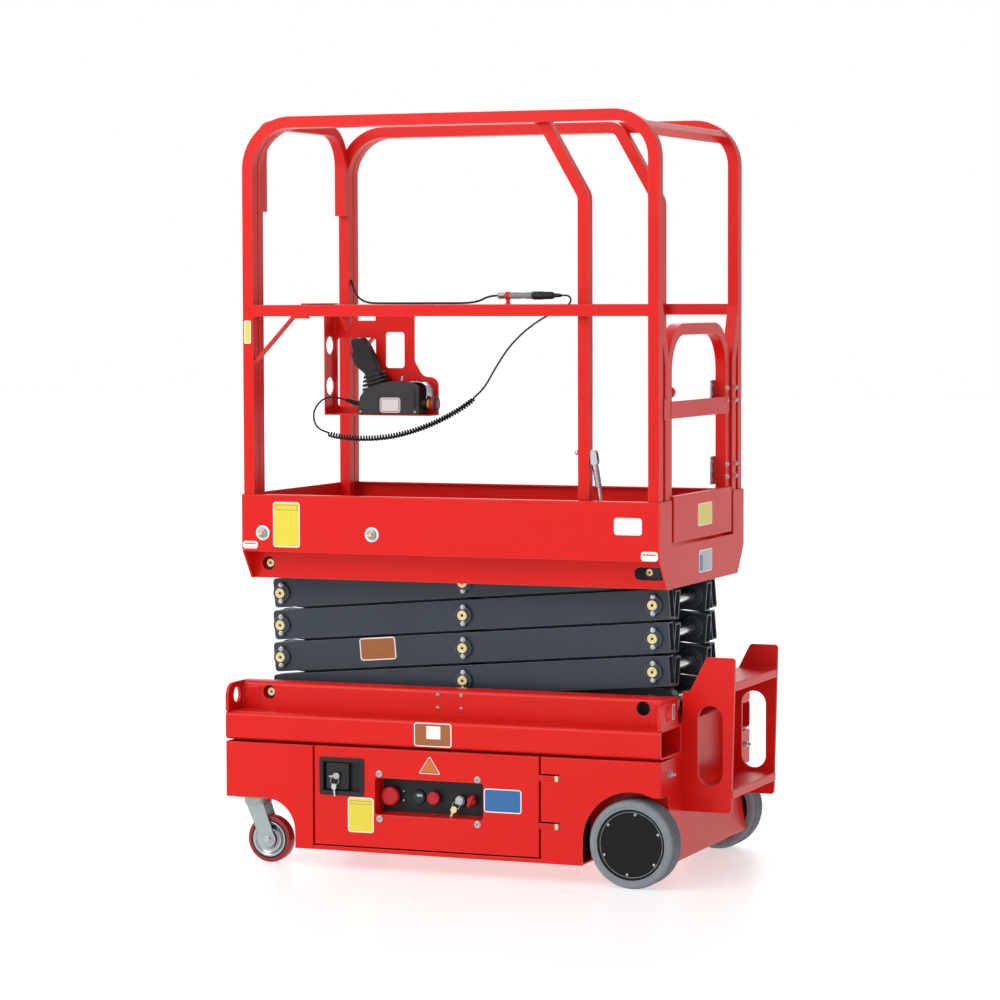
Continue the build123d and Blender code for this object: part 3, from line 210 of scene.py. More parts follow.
def cableSheath():
    # PVC or polyurethane sheath: black, slightly waxy
    return surfaceOf("cableSheath", {
        "colour": "1b1a1c", "shade": "121113", "cloudSize": 25, "grainSize": 0.9, "edge": 0.3,
        "roughness": 0.38, "spread": 0.06, "bump": 0.15, "bumpDepth": 0.03,
        "shader": {"IOR": 1.5},
    })[0]


def greyTyreRubber(name, colour, shade):
    # non-marking rubber: blue-grey, chalky, faint dust; the darker groove copy is painted shade in its
    # grooves
    return surfaceOf(name, {
        "colour": colour, "shade": shade, "cloudSize": 28, "grainSize": 1.1, "edge": 1.2,
        "roughness": 0.72, "spread": 0.08, "bump": 0.45, "bumpDepth": 0.08,
        "shader": {"IOR": 1.52},
    })[0]


def redUrethane():
    # cast polyurethane tread: dark red with a soft inner glow at its edges
    return surfaceOf("redUrethane", {
        "colour": "9b1f24", "shade": "86191f", "cloudSize": 24, "grainSize": 1.5, "edge": 1.0,
        "roughness": 0.3, "spread": 0.06, "bump": 0.12, "bumpDepth": 0.04,
        "shader": {"IOR": 1.5, "Coat Weight": 0.2, "Coat Roughness": 0.15},
    })[0]


def brightZinc():
    # clear-passivated zinc plate: cool silver with cloudy spangle
    return surfaceOf("brightZinc", {
        "colour": "ccd1d4", "shade": "a9b0b5", "cloudSize": 9, "grainSize": 0.9, "edge": 0.6,
        "roughness": 0.3, "spread": 0.08, "bump": 0.12, "bumpDepth": 0.03,
        "shader": {"Metallic": 1.0},
    })[0]


def forkZinc():
    # thick zinc on pressed plate: dull grey-green with a soft sheen
    return surfaceOf("forkZinc", {
        "colour": "a9b6b6", "shade": "98a5a6", "cloudSize": 45, "grainSize": 1.0, "edge": 1.0,
        "roughness": 0.42, "spread": 0.04, "bump": 0.1, "bumpDepth": 0.03,
        "shader": {"Metallic": 0.75},
    })[0]


def yellowZinc():
    # yellow-passivated zinc plate: warm gold with a faint drift of tone
    return surfaceOf("yellowZinc", {
        "colour": "ecdcb0", "shade": "d0b77e", "cloudSize": 8, "grainSize": 0.9, "edge": 0.6,
        "roughness": 0.3, "spread": 0.08, "bump": 0.12, "bumpDepth": 0.03,
        "shader": {"Metallic": 1.0},
    })[0]


def hardChrome():
    # ground and chromed shaft: bright, with fine rings round it
    return surfaceOf("hardChrome", {
        "colour": "e0e3e5", "shade": "c6cbce", "cloudSize": 14, "grainSize": 0.5, "edge": 0.5,
        "roughness": 0.16, "spread": 0.05, "bump": 0.08, "bumpDepth": 0.02, "streak": (0.2, 1.0, 0.2),
        "shader": {"Metallic": 1.0},
    })[0]


def scuffedRing():
    # edge of the hub disc where the paint is rubbed through to bright steel in places
    return surfaceOf("scuffedRing", {
        "colour": "c9ced1", "shade": "1c1d1e", "cloudSize": 16, "grainSize": 1.2, "edge": 0.4,
        "roughness": 0.36, "spread": 0.1, "bump": 0.2, "bumpDepth": 0.04,
        "shader": {"Metallic": 0.6},
    })[0]


def stainlessSheet():
    # brushed stainless strip: drawn out streaks along its length
    return surfaceOf("stainlessSheet", {
        "colour": "b9bfc4", "shade": "9aa1a7", "cloudSize": 6, "grainSize": 0.6, "edge": 0.5,
        "roughness": 0.26, "spread": 0.07, "bump": 0.2, "bumpDepth": 0.02, "streak": (0.05, 1.0, 1.0),
        "shader": {"Metallic": 1.0},
    })[0]


def switchPlastic(name, colour, shade):
    # moulded coloured plastic of a push-button: clean colour with a soft shine
    return surfaceOf(name, {
        "colour": colour, "shade": shade, "cloudSize": 20, "grainSize": 0.8, "edge": 0.6,
        "roughness": 0.34, "spread": 0.05, "bump": 0.12, "bumpDepth": 0.03,
        "shader": {"IOR": 1.5},
    })[0]


def signVinyl(name, colour, shade):
    # printed vinyl under a clear film: flat colour with a plastic sheen
    return surfaceOf(name, {
        "colour": colour, "shade": shade, "cloudSize": 50, "grainSize": 2.0, "edge": 0.2,
        "roughness": 0.3, "spread": 0.05, "bump": 0.08, "bumpDepth": 0.02,
        "shader": {"IOR": 1.46, "Coat Weight": 0.25, "Coat Roughness": 0.1},
    })[0]


red = redPowderCoat()
deck = redDeckCoat()
slate = slatePowderCoat()
enamel = blackEnamel()
hubBlack = hubPaint()
nylon = blackNylon()
absGrey = greyAbs()
paleGrey = paleNylon()
sheath = cableSheath()
tyreGrey = greyTyreRubber("greyTyreRubber", "868d93", "747b81")
# the dark groove grey is painted shade for the floors of the tread grooves, not the rubber's own colour
grooveShadeGrey = greyTyreRubber("tyreGroovePaintedShade", "3c4145", "2f3337")
urethane = redUrethane()
zinc = brightZinc()
forkSteel = forkZinc()
gold = yellowZinc()
chrome = hardChrome()
stainless = stainlessSheet()
scuffed = scuffedRing()
buttonRed = switchPlastic("buttonRed", "c4202a", "ab1a24")
buttonYellow = switchPlastic("buttonYellow", "d8b62c", "c4a226")
gaugeLight = switchPlastic("gaugeLight", "9fd8c8", "8cc8b8")
gaugeGlass = switchPlastic("gaugeGlass", "20282e", "2f3a42")
signYellow = signVinyl("signYellow", "e2d044", "d8c63c")
signWhite = signVinyl("signWhite", "eceded", "e2e4e4")
signBlack = signVinyl("signBlack", "26241f", "1e1c18")
signBrown = signVinyl("signBrown", "a2602f", "955628")
signOrange = signVinyl("signOrange", "c8702c", "b96424")
signBlue = signVinyl("signBlue", "2c6aa4", "286298")
signGrey = signVinyl("signGrey", "aeb8c0", "a2adb6")
print("materials made")

# finish of every carried-over node; the arms are slate and what isn't named is red
finishOf = {
    "extension_deck": deck, "platform_deck": deck,
    "latch_near": nylon, "latch_far": nylon, "ground_controls": nylon, "battery_pack": nylon,
    "joystick": nylon, "connector": paleGrey, "strain_relief": nylon, "station_box": absGrey,
    "drive_hub_near": hubBlack, "drive_hub_far": hubBlack,
    "harness_cable": sheath, "cord_lead_station": sheath, "cord_curl": sheath, "cord_lead_connector": sheath,
    "drive_tyre_near": tyreGrey, "drive_tyre_far": tyreGrey,
    "caster_wheel_near": urethane, "caster_wheel_far": urethane,
    "caster_fork_near": forkSteel, "caster_fork_far": forkSteel, "axle_stubs": zinc,
    "cylinder_barrel": enamel, "hydraulic_unit": enamel, "cylinder_rod": chrome,
}
for name, node in nodes.items():
    node.data.materials.clear()
    node.data.materials.append(finishOf.get(name, slate if "_arms_" in name else red))
print("finishes given")

# camera
view = {"position": (3.3844, -8.5528, 1.5163), "azimuth": 21.83, "pitch": 3.39, "roll": -0.16,
        "lens": 122.57, "sensor": 36, "reach": 100}
camera = bpy.data.objects.new("camera", bpy.data.cameras.new("camera"))
bpy.context.scene.collection.objects.link(camera)
camera.data.lens = view["lens"]
camera.data.sensor_width = view["sensor"]
camera.data.clip_end = view["reach"]
camera.matrix_world = (Matrix.Translation(view["position"])
                       @ Matrix.Rotation(math.radians(view["azimuth"]), 4, "Z")
                       @ Matrix.Rotation(math.radians(90 - view["pitch"]), 4, "X")
                       @ Matrix.Rotation(math.radians(view["roll"]), 4, "Z"))
bpy.context.scene.camera = camera

# light and floor
studio = {
    # name: place, aim, size, power
    "keyLight": ((-2.0, -4.0, 3.6), (0, 0, 1.2), 2.6, 92),
    "fillLight": ((2.0, -6.0, 1.6), (0, 0, 0.9), 3.5, 20),
    "backLight": ((-1.5, 4.5, 4.0), (0, 0, 1.2), 3.0, 60),
}
for name, (place, aim, size, power) in studio.items():
    lamp = bpy.data.lights.new(name, "AREA")
    lamp.size = size
    lamp.energy = power
    holder = bpy.data.objects.new(name, lamp)
    bpy.context.scene.collection.objects.link(holder)
    holder.location = place
    holder.rotation_euler = (Vector(aim) - Vector(place)).to_track_quat("-Z", "Y").to_euler()

# white all round, dimmer towards the ladder so that the end faces read darker than the side
airLight = {"dimFrom": -0.1, "dimTo": 0.8, "full": 1.0, "dim": 0.4}
world = bpy.data.worlds.new("studioAir")
bpy.context.scene.world = world
world.use_nodes = True
air = world.node_tree
background = air.nodes["Background"]
background.inputs["Color"].default_value = linearColour("ffffff")
direction = addNode(air, "ShaderNodeTexCoord")
parts = addNode(air, "ShaderNodeSeparateXYZ", None, {"Vector": (direction, "Generated")})
falloff = addNode(air, "ShaderNodeMapRange",
                  {"From Min": airLight["dimFrom"], "From Max": airLight["dimTo"],
                   "To Min": airLight["full"], "To Max": airLight["dim"]}, {"Value": (parts, "X")})
# behind the machine the studio stays one even white
ray = addNode(air, "ShaderNodeLightPath")
evenBackdrop = addNode(air, "ShaderNodeMath", {"operation": "MAXIMUM"},
                       {0: (falloff, "Result"), 1: (ray, "Is Camera Ray")})
air.links.new(evenBackdrop.outputs["Value"], background.inputs["Strength"])

floorLook = {"half": 40, "colour": "c4c4c4", "shade": "c2c2c2", "glow": 0.55}
floorMesh = bmesh.new()
bmesh.ops.create_grid(floorMesh, x_segments=1, y_segments=1, size=floorLook["half"])
floorData = bpy.data.meshes.new("floor")
floorMesh.to_mesh(floorData)
floorMesh.free()
floor = bpy.data.objects.new("floor", floorData)
bpy.context.scene.collection.objects.link(floor)
paleFloor = switchPlastic("paleFloor", floorLook["colour"], floorLook["shade"])
floorShader = paleFloor.node_tree.nodes["Principled BSDF"]
floorShader.inputs["Emission Color"].default_value = linearColour("ffffff")
floorShader.inputs["Emission Strength"].default_value = floorLook["glow"]
floorData.materials.append(paleFloor)
bpy.context.scene.view_settings.view_transform = "Standard"
print("studio ready")


# mesh helpers; sizes are in millimetres and places in the machine's frame
def point(x, y, z):
    return Vector((x, y, z)) * mm


def facing(centre, axis, up=upward):
    # a frame at centre whose Z looks along axis and whose Y is near up
    z = Vector(axis).normalized()
    x = Vector(up).cross(z)
    x = x.normalized() if x.length > 1e-6 else Vector(rightward)
    turn = Matrix((x, z.cross(x), z)).transposed()
    return Matrix.Translation(point(*centre)) @ turn.to_4x4()


def skin(mesh, rings, paint=0, closed=False):
    # quads between rings of equally many corners, with flat ends unless the last ring meets the first
    made = []
    pairs = list(zip(rings, rings[1:])) + ([(rings[-1], rings[0])] if closed else [])
    for low, high in pairs:
        for i in range(len(low)):
            j = (i + 1) % len(low)
            made.append(mesh.faces.new((low[i], low[j], high[j], high[i])))
    if not closed:
        made.append(mesh.faces.new(list(reversed(rings[0]))))
        made.append(mesh.faces.new(rings[-1]))
    for face in made:
        face.material_index = paint


def lathe(mesh, profile, place, paint=0, steps=32, closed=False):
    # (height, radius) pairs turned about the place's Z
    rings = []
    for height, radius in profile:
        ring = [place @ (Vector((radius * math.cos(a), radius * math.sin(a), height)) * mm)
                for a in (2 * math.pi * i / steps for i in range(steps))]
        rings.append([mesh.verts.new(corner) for corner in ring])
    skin(mesh, rings, paint, closed)


def roundedOutline(width, height, corner):
    # a rectangle round the origin with five steps to each rounded corner
    outline = []
    steps = 5
    for cx, cy, start in ((1, 1, 0), (-1, 1, 90), (-1, -1, 180), (1, -1, 270)):
        for i in range(steps + 1):
            a = math.radians(start + 90 * i / steps)
            outline.append((cx * (width / 2 - corner) + corner * math.cos(a),
                            cy * (height / 2 - corner) + corner * math.sin(a)))
    return outline


def plate(mesh, width, height, corner, layers, place, paint=0):
    # a rounded plate from (height, inset) layers, back to front
    rings = []
    for level, inset in layers:
        outline = roundedOutline(width - 2 * inset, height - 2 * inset, max(corner - inset, 0.2))
        rings.append([mesh.verts.new(place @ (Vector((x, y, level)) * mm)) for x, y in outline])
    skin(mesh, rings, paint)


def rope(mesh, path, radius, paint=0, steps=10, closed=False):
    # a round section carried along points without twisting
    path = [point(*p) for p in path]
    count = len(path)
    normal = None
    rings = []
    for i, here in enumerate(path):
        after = path[(i + 1) % count] if closed or i < count - 1 else here
        before = path[i - 1] if closed or i > 0 else here
        along = (after - before).normalized()
        if normal is None:
            normal = along.orthogonal().normalized()
        normal = (normal - along * normal.dot(along)).normalized()
        side = along.cross(normal)
        rings.append([mesh.verts.new(here + (normal * math.cos(a) + side * math.sin(a)) * radius * mm)
                      for a in (2 * math.pi * k / steps for k in range(steps))])
    skin(mesh, rings, paint, closed)


def ringPath(centre, axis, radius, steps=28):
    place = facing((0, 0, 0), axis)
    path = []
    for i in range(steps):
        a = 2 * math.pi * i / steps
        offset = place @ Vector((radius * math.cos(a), radius * math.sin(a), 0))
        path.append((centre[0] + offset.x, centre[1] + offset.y, centre[2] + offset.z))
    return path


def settle(name, mesh, paints, body, sharp=35):
    # the mesh becomes a piece that rides on its body
    data = bpy.data.meshes.new(name)
    bmesh.ops.recalc_face_normals(mesh, faces=mesh.faces)
    mesh.to_mesh(data)
    mesh.free()
    for paint in paints:
        data.materials.append(paint)
    data.shade_smooth()
    data.set_sharp_from_angle(angle=math.radians(sharp))
    piece = bpy.data.objects.new(name, data)
    bpy.context.scene.collection.objects.link(piece)
    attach(piece, body)
    return piece


# control lead: straight tail, tight curls, straight tail up to the joint on the mid rail
lead = {
    "diameter": 5.2, "curlRadius": 6.2, "curlPitch": 8.0, "pointsPerTurn": 12,
    "easeTurns": 1, "easeFrom": 0.6,
    "route": [
        (-553, 112, 1236), (-578.2, 101.2, 1244.4), (-605, 86, 1240), (-628, 78, 1215), (-634, 76, 1185),
        (-622, 78, 1155), (-590, 82, 1138), (-520, 90, 1128), (-440, 104, 1129), (-365, 122, 1144),
        (-295, 146, 1171), (-240, 170, 1202), (-196, 193, 1236), (-170, 207, 1268), (-146, 220, 1318),
        (-112, 238, 1378), (-76, 250, 1418), (-36, 259, 1450), (8, 266, 1475), (50, 267, 1491),
        (61.7, 279, 1508.6), (49.5, 292.7, 1524), (26, 292.7, 1524), (-22, 292.7, 1524), (-70, 292.7, 1524),
    ],
    "curlFrom": 6, "curlTo": 12,  # places in the route
}


def nurbsCord(name, points, diameter, paint):
    curve = bpy.data.curves.new(name, "CURVE")
    curve.dimensions = "3D"
    curve.bevel_depth = diameter / 2 * mm
    curve.bevel_resolution = 4
    curve.resolution_u = 6
    curve.use_fill_caps = True
    spline = curve.splines.new("NURBS")
    spline.points.add(len(points) - 1)
    for place, value in zip(spline.points, points):
        place.co = (*value, 1)
    spline.order_u = 3
    spline.use_endpoint_u = True
    curve.materials.append(paint)
    cord = bpy.data.objects.new(name, curve)
    bpy.context.scene.collection.objects.link(cord)
    return cord


def lineOf(points):
    # the smooth line of a route, read from its spline with no bevel
    guide = nurbsCord("guideLine", points, 0, sheath)
    guide.data.resolution_u = 24
    guide.data.use_fill_caps = False
    bpy.context.view_layer.update()
    data = bpy.data.meshes.new_from_object(guide)
    line = [v.co.copy() for v in data.vertices]
    bpy.data.objects.remove(guide)
    bpy.data.meshes.remove(data)
    return line


def lineLength(line):
    return sum((b - a).length for a, b in zip(line, line[1:]))


def nearestOn(line, target):
    return min(range(len(line)), key=lambda i: (line[i] - target).length)


route = [point(*p) for p in lead["route"]]
line = lineOf(route)
first = nearestOn(line, route[lead["curlFrom"]])
last = nearestOn(line, route[lead["curlTo"]])
curlLine = line[first:last + 1]
curlLength = lineLength(curlLine)
turns = round(curlLength / (lead["curlPitch"] * mm))
curlPoints = []
walked, step, normal = 0.0, 0, None
total = turns * lead["pointsPerTurn"]
easeSteps = lead["easeTurns"] * lead["pointsPerTurn"]
for a, b in zip(curlLine, curlLine[1:]):
    along = (b - a).normalized()
    normal = along.orthogonal() if normal is None else normal
    normal = (normal - along * normal.dot(along)).normalized()
    side = along.cross(normal)
    reach = walked + (b - a).length
    while step <= total and step / total * curlLength <= reach + 1e-9:
        here = a + along * (step / total * curlLength - walked)
        turn = 2 * math.pi * step / lead["pointsPerTurn"]
        ease = min(1.0, step / easeSteps, (total - step) / easeSteps)
        radius = lead["curlRadius"] * mm * (lead["easeFrom"] + (1 - lead["easeFrom"]) * ease)
        curlPoints.append(here + (normal * math.cos(turn) + side * math.sin(turn)) * radius)
        step += 1
    walked = reach
leadPoints = route[:lead["curlFrom"]] + curlPoints + route[lead["curlTo"] + 1:]
controlLead = nurbsCord("controlLead", leadPoints, lead["diameter"], sheath)
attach(controlLead, "extension")
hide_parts("cord_lead_station", "cord_curl", "cord_lead_connector")
leadLength = lineLength(lineOf(leadPoints))
print("control lead:", turns, "turns,", round(leadLength, 3), "m")

# harness: from the joint along the mid rail and up to the post
harness = {
    "diameter": 6.0,
    "route": [(-163, 292.7, 1524), (-190, 292.7, 1524), (-230, 292.7, 1503.3), (-330, 293.7, 1503.3),
              (-430, 292.7, 1503.3), (-520, 293.7, 1503.3), (-564, 292.7, 1504.3), (-592, 292.7, 1519.3),
              (-606, 292.7, 1545.3), (-613.4, 292.7, 1570)],
}
harnessPoints = [point(*p) for p in harness["route"]]
harnessCable = nurbsCord("harnessCable", harnessPoints, harness["diameter"], sheath)
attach(harnessCable, "extension")
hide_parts("harness_cable")
print("harness:", round(lineLength(lineOf(harnessPoints)), 3), "m")

# in-line joint: pale body, black tail, pale nut, red clamp on the rail
joint = {
    "y": 292.7, "z": 1524,
    "body": [(-141, 8), (-139, 9.3), (-100, 9.3), (-98, 8.6), (-80, 8.6), (-78, 9.6), (-61, 9.6), (-59, 9)],
    "nut": [(-163, 5), (-161, 9), (-158, 10.6), (-146, 10.8), (-143, 9.6), (-141, 8.2)],
    "tail": [(-59, 10.5), (-56, 11.8), (-30, 11.8), (-26, 10.8), (-2, 10.6), (4, 8.4), (5, 6.3), (22, 5.2),
             (26, 4)],
    "clampX": -133, "band": [(-6, 11), (-6, 9.8), (6, 9.8), (6, 11)],
    "web": (12, 14, 2), "webZ": 1507, "foot": (12, 19, 2), "footZ": 1500.1,
}
along = facing((0, joint["y"], joint["z"]), rightward)
mesh = bmesh.new()
lathe(mesh, joint["nut"], along, paint=1, steps=6)
lathe(mesh, joint["body"], along, paint=0)
lathe(mesh, joint["tail"], along, paint=2)
lathe(mesh, joint["band"], facing((joint["clampX"], joint["y"], joint["z"]), rightward), paint=3, closed=True)
plate(mesh, *joint["web"], [(-1.5, 0.4), (-1, 0), (1, 0), (1.5, 0.4)],
      facing((joint["clampX"], joint["y"], joint["webZ"]), farward), paint=3)
plate(mesh, *joint["foot"], [(0, 0), (1.5, 0), (2, 0.4)],
      facing((joint["clampX"], joint["y"], joint["footZ"]), upward, farward), paint=3)
cableJoint = settle("cableJoint", mesh, [paleGrey, zinc, nylon, red], "extension")
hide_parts("connector")
lineLength(lineOf(harnessPoints))

# strain relief: ribbed taper between the box and the lead
relief = {"root": (-511, 130, 1222), "tip": (-553, 112, 1236), "profile": [
    (-4, 8.4), (4, 8.4), (5, 7.6), (9, 7.4), (10, 6.4), (12, 6.4), (13, 7.2), (17, 7.0), (18, 6.0),
    (20, 6.0), (21, 6.7), (25, 6.5), (26, 5.4), (28, 5.4), (29, 6.1), (33, 5.9), (34, 4.8), (37, 4.8),
    (38, 5.4), (42, 5.2), (43, 4.2), (47, 3.6)]}
mesh = bmesh.new()
reach = Vector(relief["tip"]) - Vector(relief["root"])
lathe(mesh, relief["profile"], facing(relief["root"], reach), steps=24)
boot = settle("leadBoot", mesh, [nylon], "extension")
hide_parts("strain_relief")
print("cords laid")

# drive wheels: smooth sidewalls and rows of fine cross lugs
tyre = {
    "half": 40, "radius": 115, "shoulder": 7.5, "lugs": 132, "lugShare": 0.62, "lugSlope": 0.06,
    "rows": 4, "rowPitch": 15.4, "rowWidth": 12.6, "rowSlope": 0.4, "grooveDepth": 2.6,
    # these pick the groove floors that get the painted shade
    "shadeHalf": 31, "shadeFrom": 105, "shadeRise": 0.4,
    "sidewall": [(0, 92.05), (0, 96), (0.7, 97), (0.7, 98.4), (0, 99.4), (0, 105), (1.4, 108.8), (4, 111.4)],
}


def tyreProfile():
    # (across, radius, raised) once round the section; raised points drop between the lugs
    base = tyre["radius"] - tyre["grooveDepth"]
    side = [(tyre["half"] - inset, r) for inset, r in tyre["sidewall"]]
    side.append((tyre["half"] - tyre["shoulder"], base))
    profile = [(-a, r, False) for a, r in side]
    start = -(tyre["rows"] - 1) / 2 * tyre["rowPitch"]
    reach = tyre["rowWidth"] / 2
    slope = tyre["rowSlope"]
    for row in range(tyre["rows"]):
        middle = start + row * tyre["rowPitch"]
        near, far = -reach - slope, reach + slope
        for across, raised in ((near, False), (-reach, True), (reach, True), (far, False)):
            profile.append((middle + across, tyre["radius"] if raised else base, raised))
    return profile + [(a, r, False) for a, r in reversed(side)]


def tyreMesh(centre):
    mesh = bmesh.new()
    place = facing(centre, farward)
    pitch = 2 * math.pi / tyre["lugs"]
    share, slope = tyre["lugShare"], tyre["lugSlope"]
    rings = []
    for lug in range(tyre["lugs"]):
        for start, up in ((0, True), (share, True), (share + slope, False), (1 - slope, False)):
            a = (lug + start) * pitch
            ring = []
            for across, r, raised in tyreProfile():
                r -= tyre["grooveDepth"] if raised and not up else 0
                corner = Vector((r * math.cos(a), r * math.sin(a), across))
                ring.append(mesh.verts.new(place @ (corner * mm)))
            rings.append(ring)
    skin(mesh, rings, closed=True)
    # faces at the bottom of the grooves get the dark grey: painted shade standing in for the grooves' shade
    shadeRadius = (tyre["radius"] - tyre["grooveDepth"] + tyre["shadeRise"]) * mm
    for face in mesh.faces:
        spread = [math.hypot(*(corner.co - place.translation).xz) for corner in face.verts]
        across = abs(face.calc_center_median().y - place.translation.y)
        inRow = across < tyre["shadeHalf"] * mm and min(spread) > tyre["shadeFrom"] * mm
        if inRow and max(spread) < shadeRadius:
            face.material_index = 1
    return mesh


def screwHead(mesh, centre, axis, radius, height, paint=0, recess=1):
    # a low domed head with a cross cut in it
    place = facing(centre, axis)
    dome = [(0, radius), (height * 0.45, radius), (height * 0.85, radius * 0.78), (height, radius * 0.4)]
    lathe(mesh, dome, place, paint, 16)
    for turn in (20, 110):
        plate(mesh, radius * 1.1, radius * 0.24, radius * 0.1, [(height * 0.8, 0), (height + 0.12, 0)],
              place @ Matrix.Rotation(math.radians(turn), 4, "Z"), recess)


def hexBolt(mesh, centre, axis, radius, height, shank=0, shankRadius=0, paint=0):
    # washer, chamfered hexagon and a bit of thread past it
    place = facing(centre, axis)
    lathe(mesh, [(0, radius * 1.25), (1.4, radius * 1.25), (1.6, radius * 1.18)], place, paint, 24)
    lathe(mesh, [(1.5, radius), (height * 0.85, radius), (height, radius * 0.84)], place, paint, 6)
    if shank:
        pitch = 1.25
        profile = [(height - 0.5, shankRadius)]
        for i in range(int(shank / pitch)):
            profile += [(height + i * pitch, shankRadius), (height + (i + 0.5) * pitch, shankRadius * 0.86)]
        lathe(mesh, profile, place, paint, 20)


def middleOf(nodeName):
    low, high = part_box(nodeName)
    return [(low[i] + high[i]) / 2 / mm for i in range(3)]


hub = {"face": 381.5, "ring": [(-0.1, 83.9), (0.5, 84.1), (0.5, 85.3), (-0.1, 85.5)],
       "screws": 6, "screwCircle": 79, "firstScrew": 22, "screw": (3.6, 1.7)}
for side, word in sides:
    body = "drive_" + word
    centre = middleOf("drive_tyre_" + word)
    rubber = settle("tyre" + word.title(), tyreMesh(centre), [tyreGrey, grooveShadeGrey], body, 25)
    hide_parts("drive_tyre_" + word)
    mesh = bmesh.new()
    disc = facing((centre[0], side * hub["face"], centre[2]), (0, side, 0))
    lathe(mesh, hub["ring"], disc, 0, 96, closed=True)
    for i in range(hub["screws"]):
        a = math.radians(hub["firstScrew"] + 360 / hub["screws"] * i)
        place = disc @ (Vector((math.cos(a), math.sin(a), 0)) * hub["screwCircle"] * mm)
        screwHead(mesh, place / mm, (0, side, 0), *hub["screw"], 1, 2)
    settle("hubTrim" + word.title(), mesh, [scuffed, zinc, hubBlack], body)
print("drive wheels made")

# casters: pressed and dished wheel centre, black band under the tread, pin with nuts
caster = {
    "dish": [(-6.6, 22.3), (-2.6, 22.6), (-1.6, 24), (-2.2, 26), (-5.6, 28), (-6.2, 33), (-4.8, 37),
             (-1.0, 41), (0.4, 43), (0.9, 45), (0.9, 47.2), (0.3, 47.8), (-0.6, 47.8), (-0.8, 45),
             (-6.8, 44.8)],
    "band": [(-0.6, 47.9), (0.5, 47.9), (0.8, 48.5), (0.7, 51.6), (0.2, 52.2), (-0.8, 52.4)],
    "half": 16, "nutFace": 25.2, "nut": (10.4, 6.8),
}
for word in ("near", "far"):
    x, y, z = middleOf("caster_wheel_" + word)
    mesh = bmesh.new()
    for out in (-1, 1):
        face = facing((x, y + out * caster["half"], z), (0, out, 0))
        lathe(mesh, caster["dish"], face, 0, 64, closed=True)
        lathe(mesh, caster["band"], face, 1, 64, closed=True)
        hexBolt(mesh, (x, y + out * caster["nutFace"], z), (0, out, 0), *caster["nut"])
    settle("casterCentre" + word.title(), mesh, [stainless, hubBlack], "caster_roll_" + word,
           30)
print("casters made")

# scissor joints: gold pins with a centre hole, retaining plates and bolts, chromed cross shafts
stack = {
    "left": -603, "right": 468, "foot": 455, "pitch": 87.5, "stages": 4,
    "face": 203, "boss": [(-8.8, 23.6), (-1, 23.6), (0.4, 22.4), (0.4, 14)], "keeper": (19, 60, 9),
    "pin": (13.8, 8.4), "boltFace": 205.4, "boltRise": 22, "bolt": (5.2, 4.8),
    "rollerFace": 230.1, "rollerPin": (10, 2), "shaft": [(-103.5, 16.35), (103.5, 16.35)],
    "innerFace": 110, "innerBoss": [(0.2, 17.2), (-6, 17.2), (-6.6, 18), (-6.6, 31), (-5.6, 32.5), (0.2, 33)],
    "endFace": 265.1, "endSeat": [(-0.1, 16.2), (0.6, 16.2), (0.8, 15.6)],
    "endPinFace": 265.6, "endPin": (11.5, 2.2),
}


def pinCap(mesh, centre, axis, radius, height):
    # gold rim round a dark centre hole
    place = facing(centre, axis)
    lathe(mesh, [(-0.2, radius), (height - 0.8, radius), (height, radius - 0.9), (height, radius * 0.52),
                 (height - 0.5, radius * 0.48), (height - 0.5, radius * 0.3), (height - 1.2, radius * 0.26),
                 (-0.2, radius * 0.25)], place, 0, 32, closed=True)
    lathe(mesh, [(0, radius * 0.26), (height - 1.1, radius * 0.26)], place, 1, 16)


middle = (stack["left"] + stack["right"]) / 2
for k in range(stack["stages"]):
    low = stack["foot"] + k * stack["pitch"]
    high = low + stack["pitch"]
    outer = "outer_" + str(k + 1)
    joints = [(middle, low + stack["pitch"] / 2)]
    joints += [(stack["left"], low)] if k > 0 else []
    joints += [(stack["right"], high)] if k < stack["stages"] - 1 else []
    mesh = bmesh.new()
    for x, z in joints:
        for side in (-1, 1):
            axis = (0, side, 0)
            place = facing((x, side * stack["face"], z), axis)
            lathe(mesh, stack["boss"], place, 2, 40)
            plate(mesh, *stack["keeper"], [(0, 0), (2.2, 0), (2.8, 0.6)], place, 2)
            pinCap(mesh, (x, side * stack["face"], z), axis, *stack["pin"])
            for rise in (-stack["boltRise"], stack["boltRise"]):
                hexBolt(mesh, (x, side * stack["boltFace"], z + rise), axis, *stack["bolt"], paint=3)
    if k == stack["stages"] - 1:
        for side in (-1, 1):
            tip = (stack["right"], side * stack["rollerFace"], high)
            pinCap(mesh, tip, (0, side, 0), *stack["rollerPin"])
    settle("jointPins" + str(k + 1), mesh, [gold, nylon, slate, zinc], outer, 30)

    mesh = bmesh.new()
    for x, z in ((stack["left"], low), (stack["right"], high)):
        lathe(mesh, stack["shaft"], facing((x, 0, z), farward), 0, 48)
    settle("crossShafts" + str(k + 1), mesh, [chrome], outer, 30)

    mesh = bmesh.new()
    for x, z in ((stack["right"], low), (stack["left"], high)):
        for side in (-1, 1):
            place = facing((x, side * stack["innerFace"], z), (0, side, 0))
            lathe(mesh, stack["innerBoss"], place, 0, 48, closed=True)
    settle("innerBosses" + str(k + 1), mesh, [slate], "inner_" + str(k + 1), 30)
mesh = bmesh.new()
lathe(mesh, stack["shaft"], facing((stack["right"], 0, stack["foot"]), farward), 0, 48)
settle("rollerShaft", mesh, [chrome], "inner_1", 30)

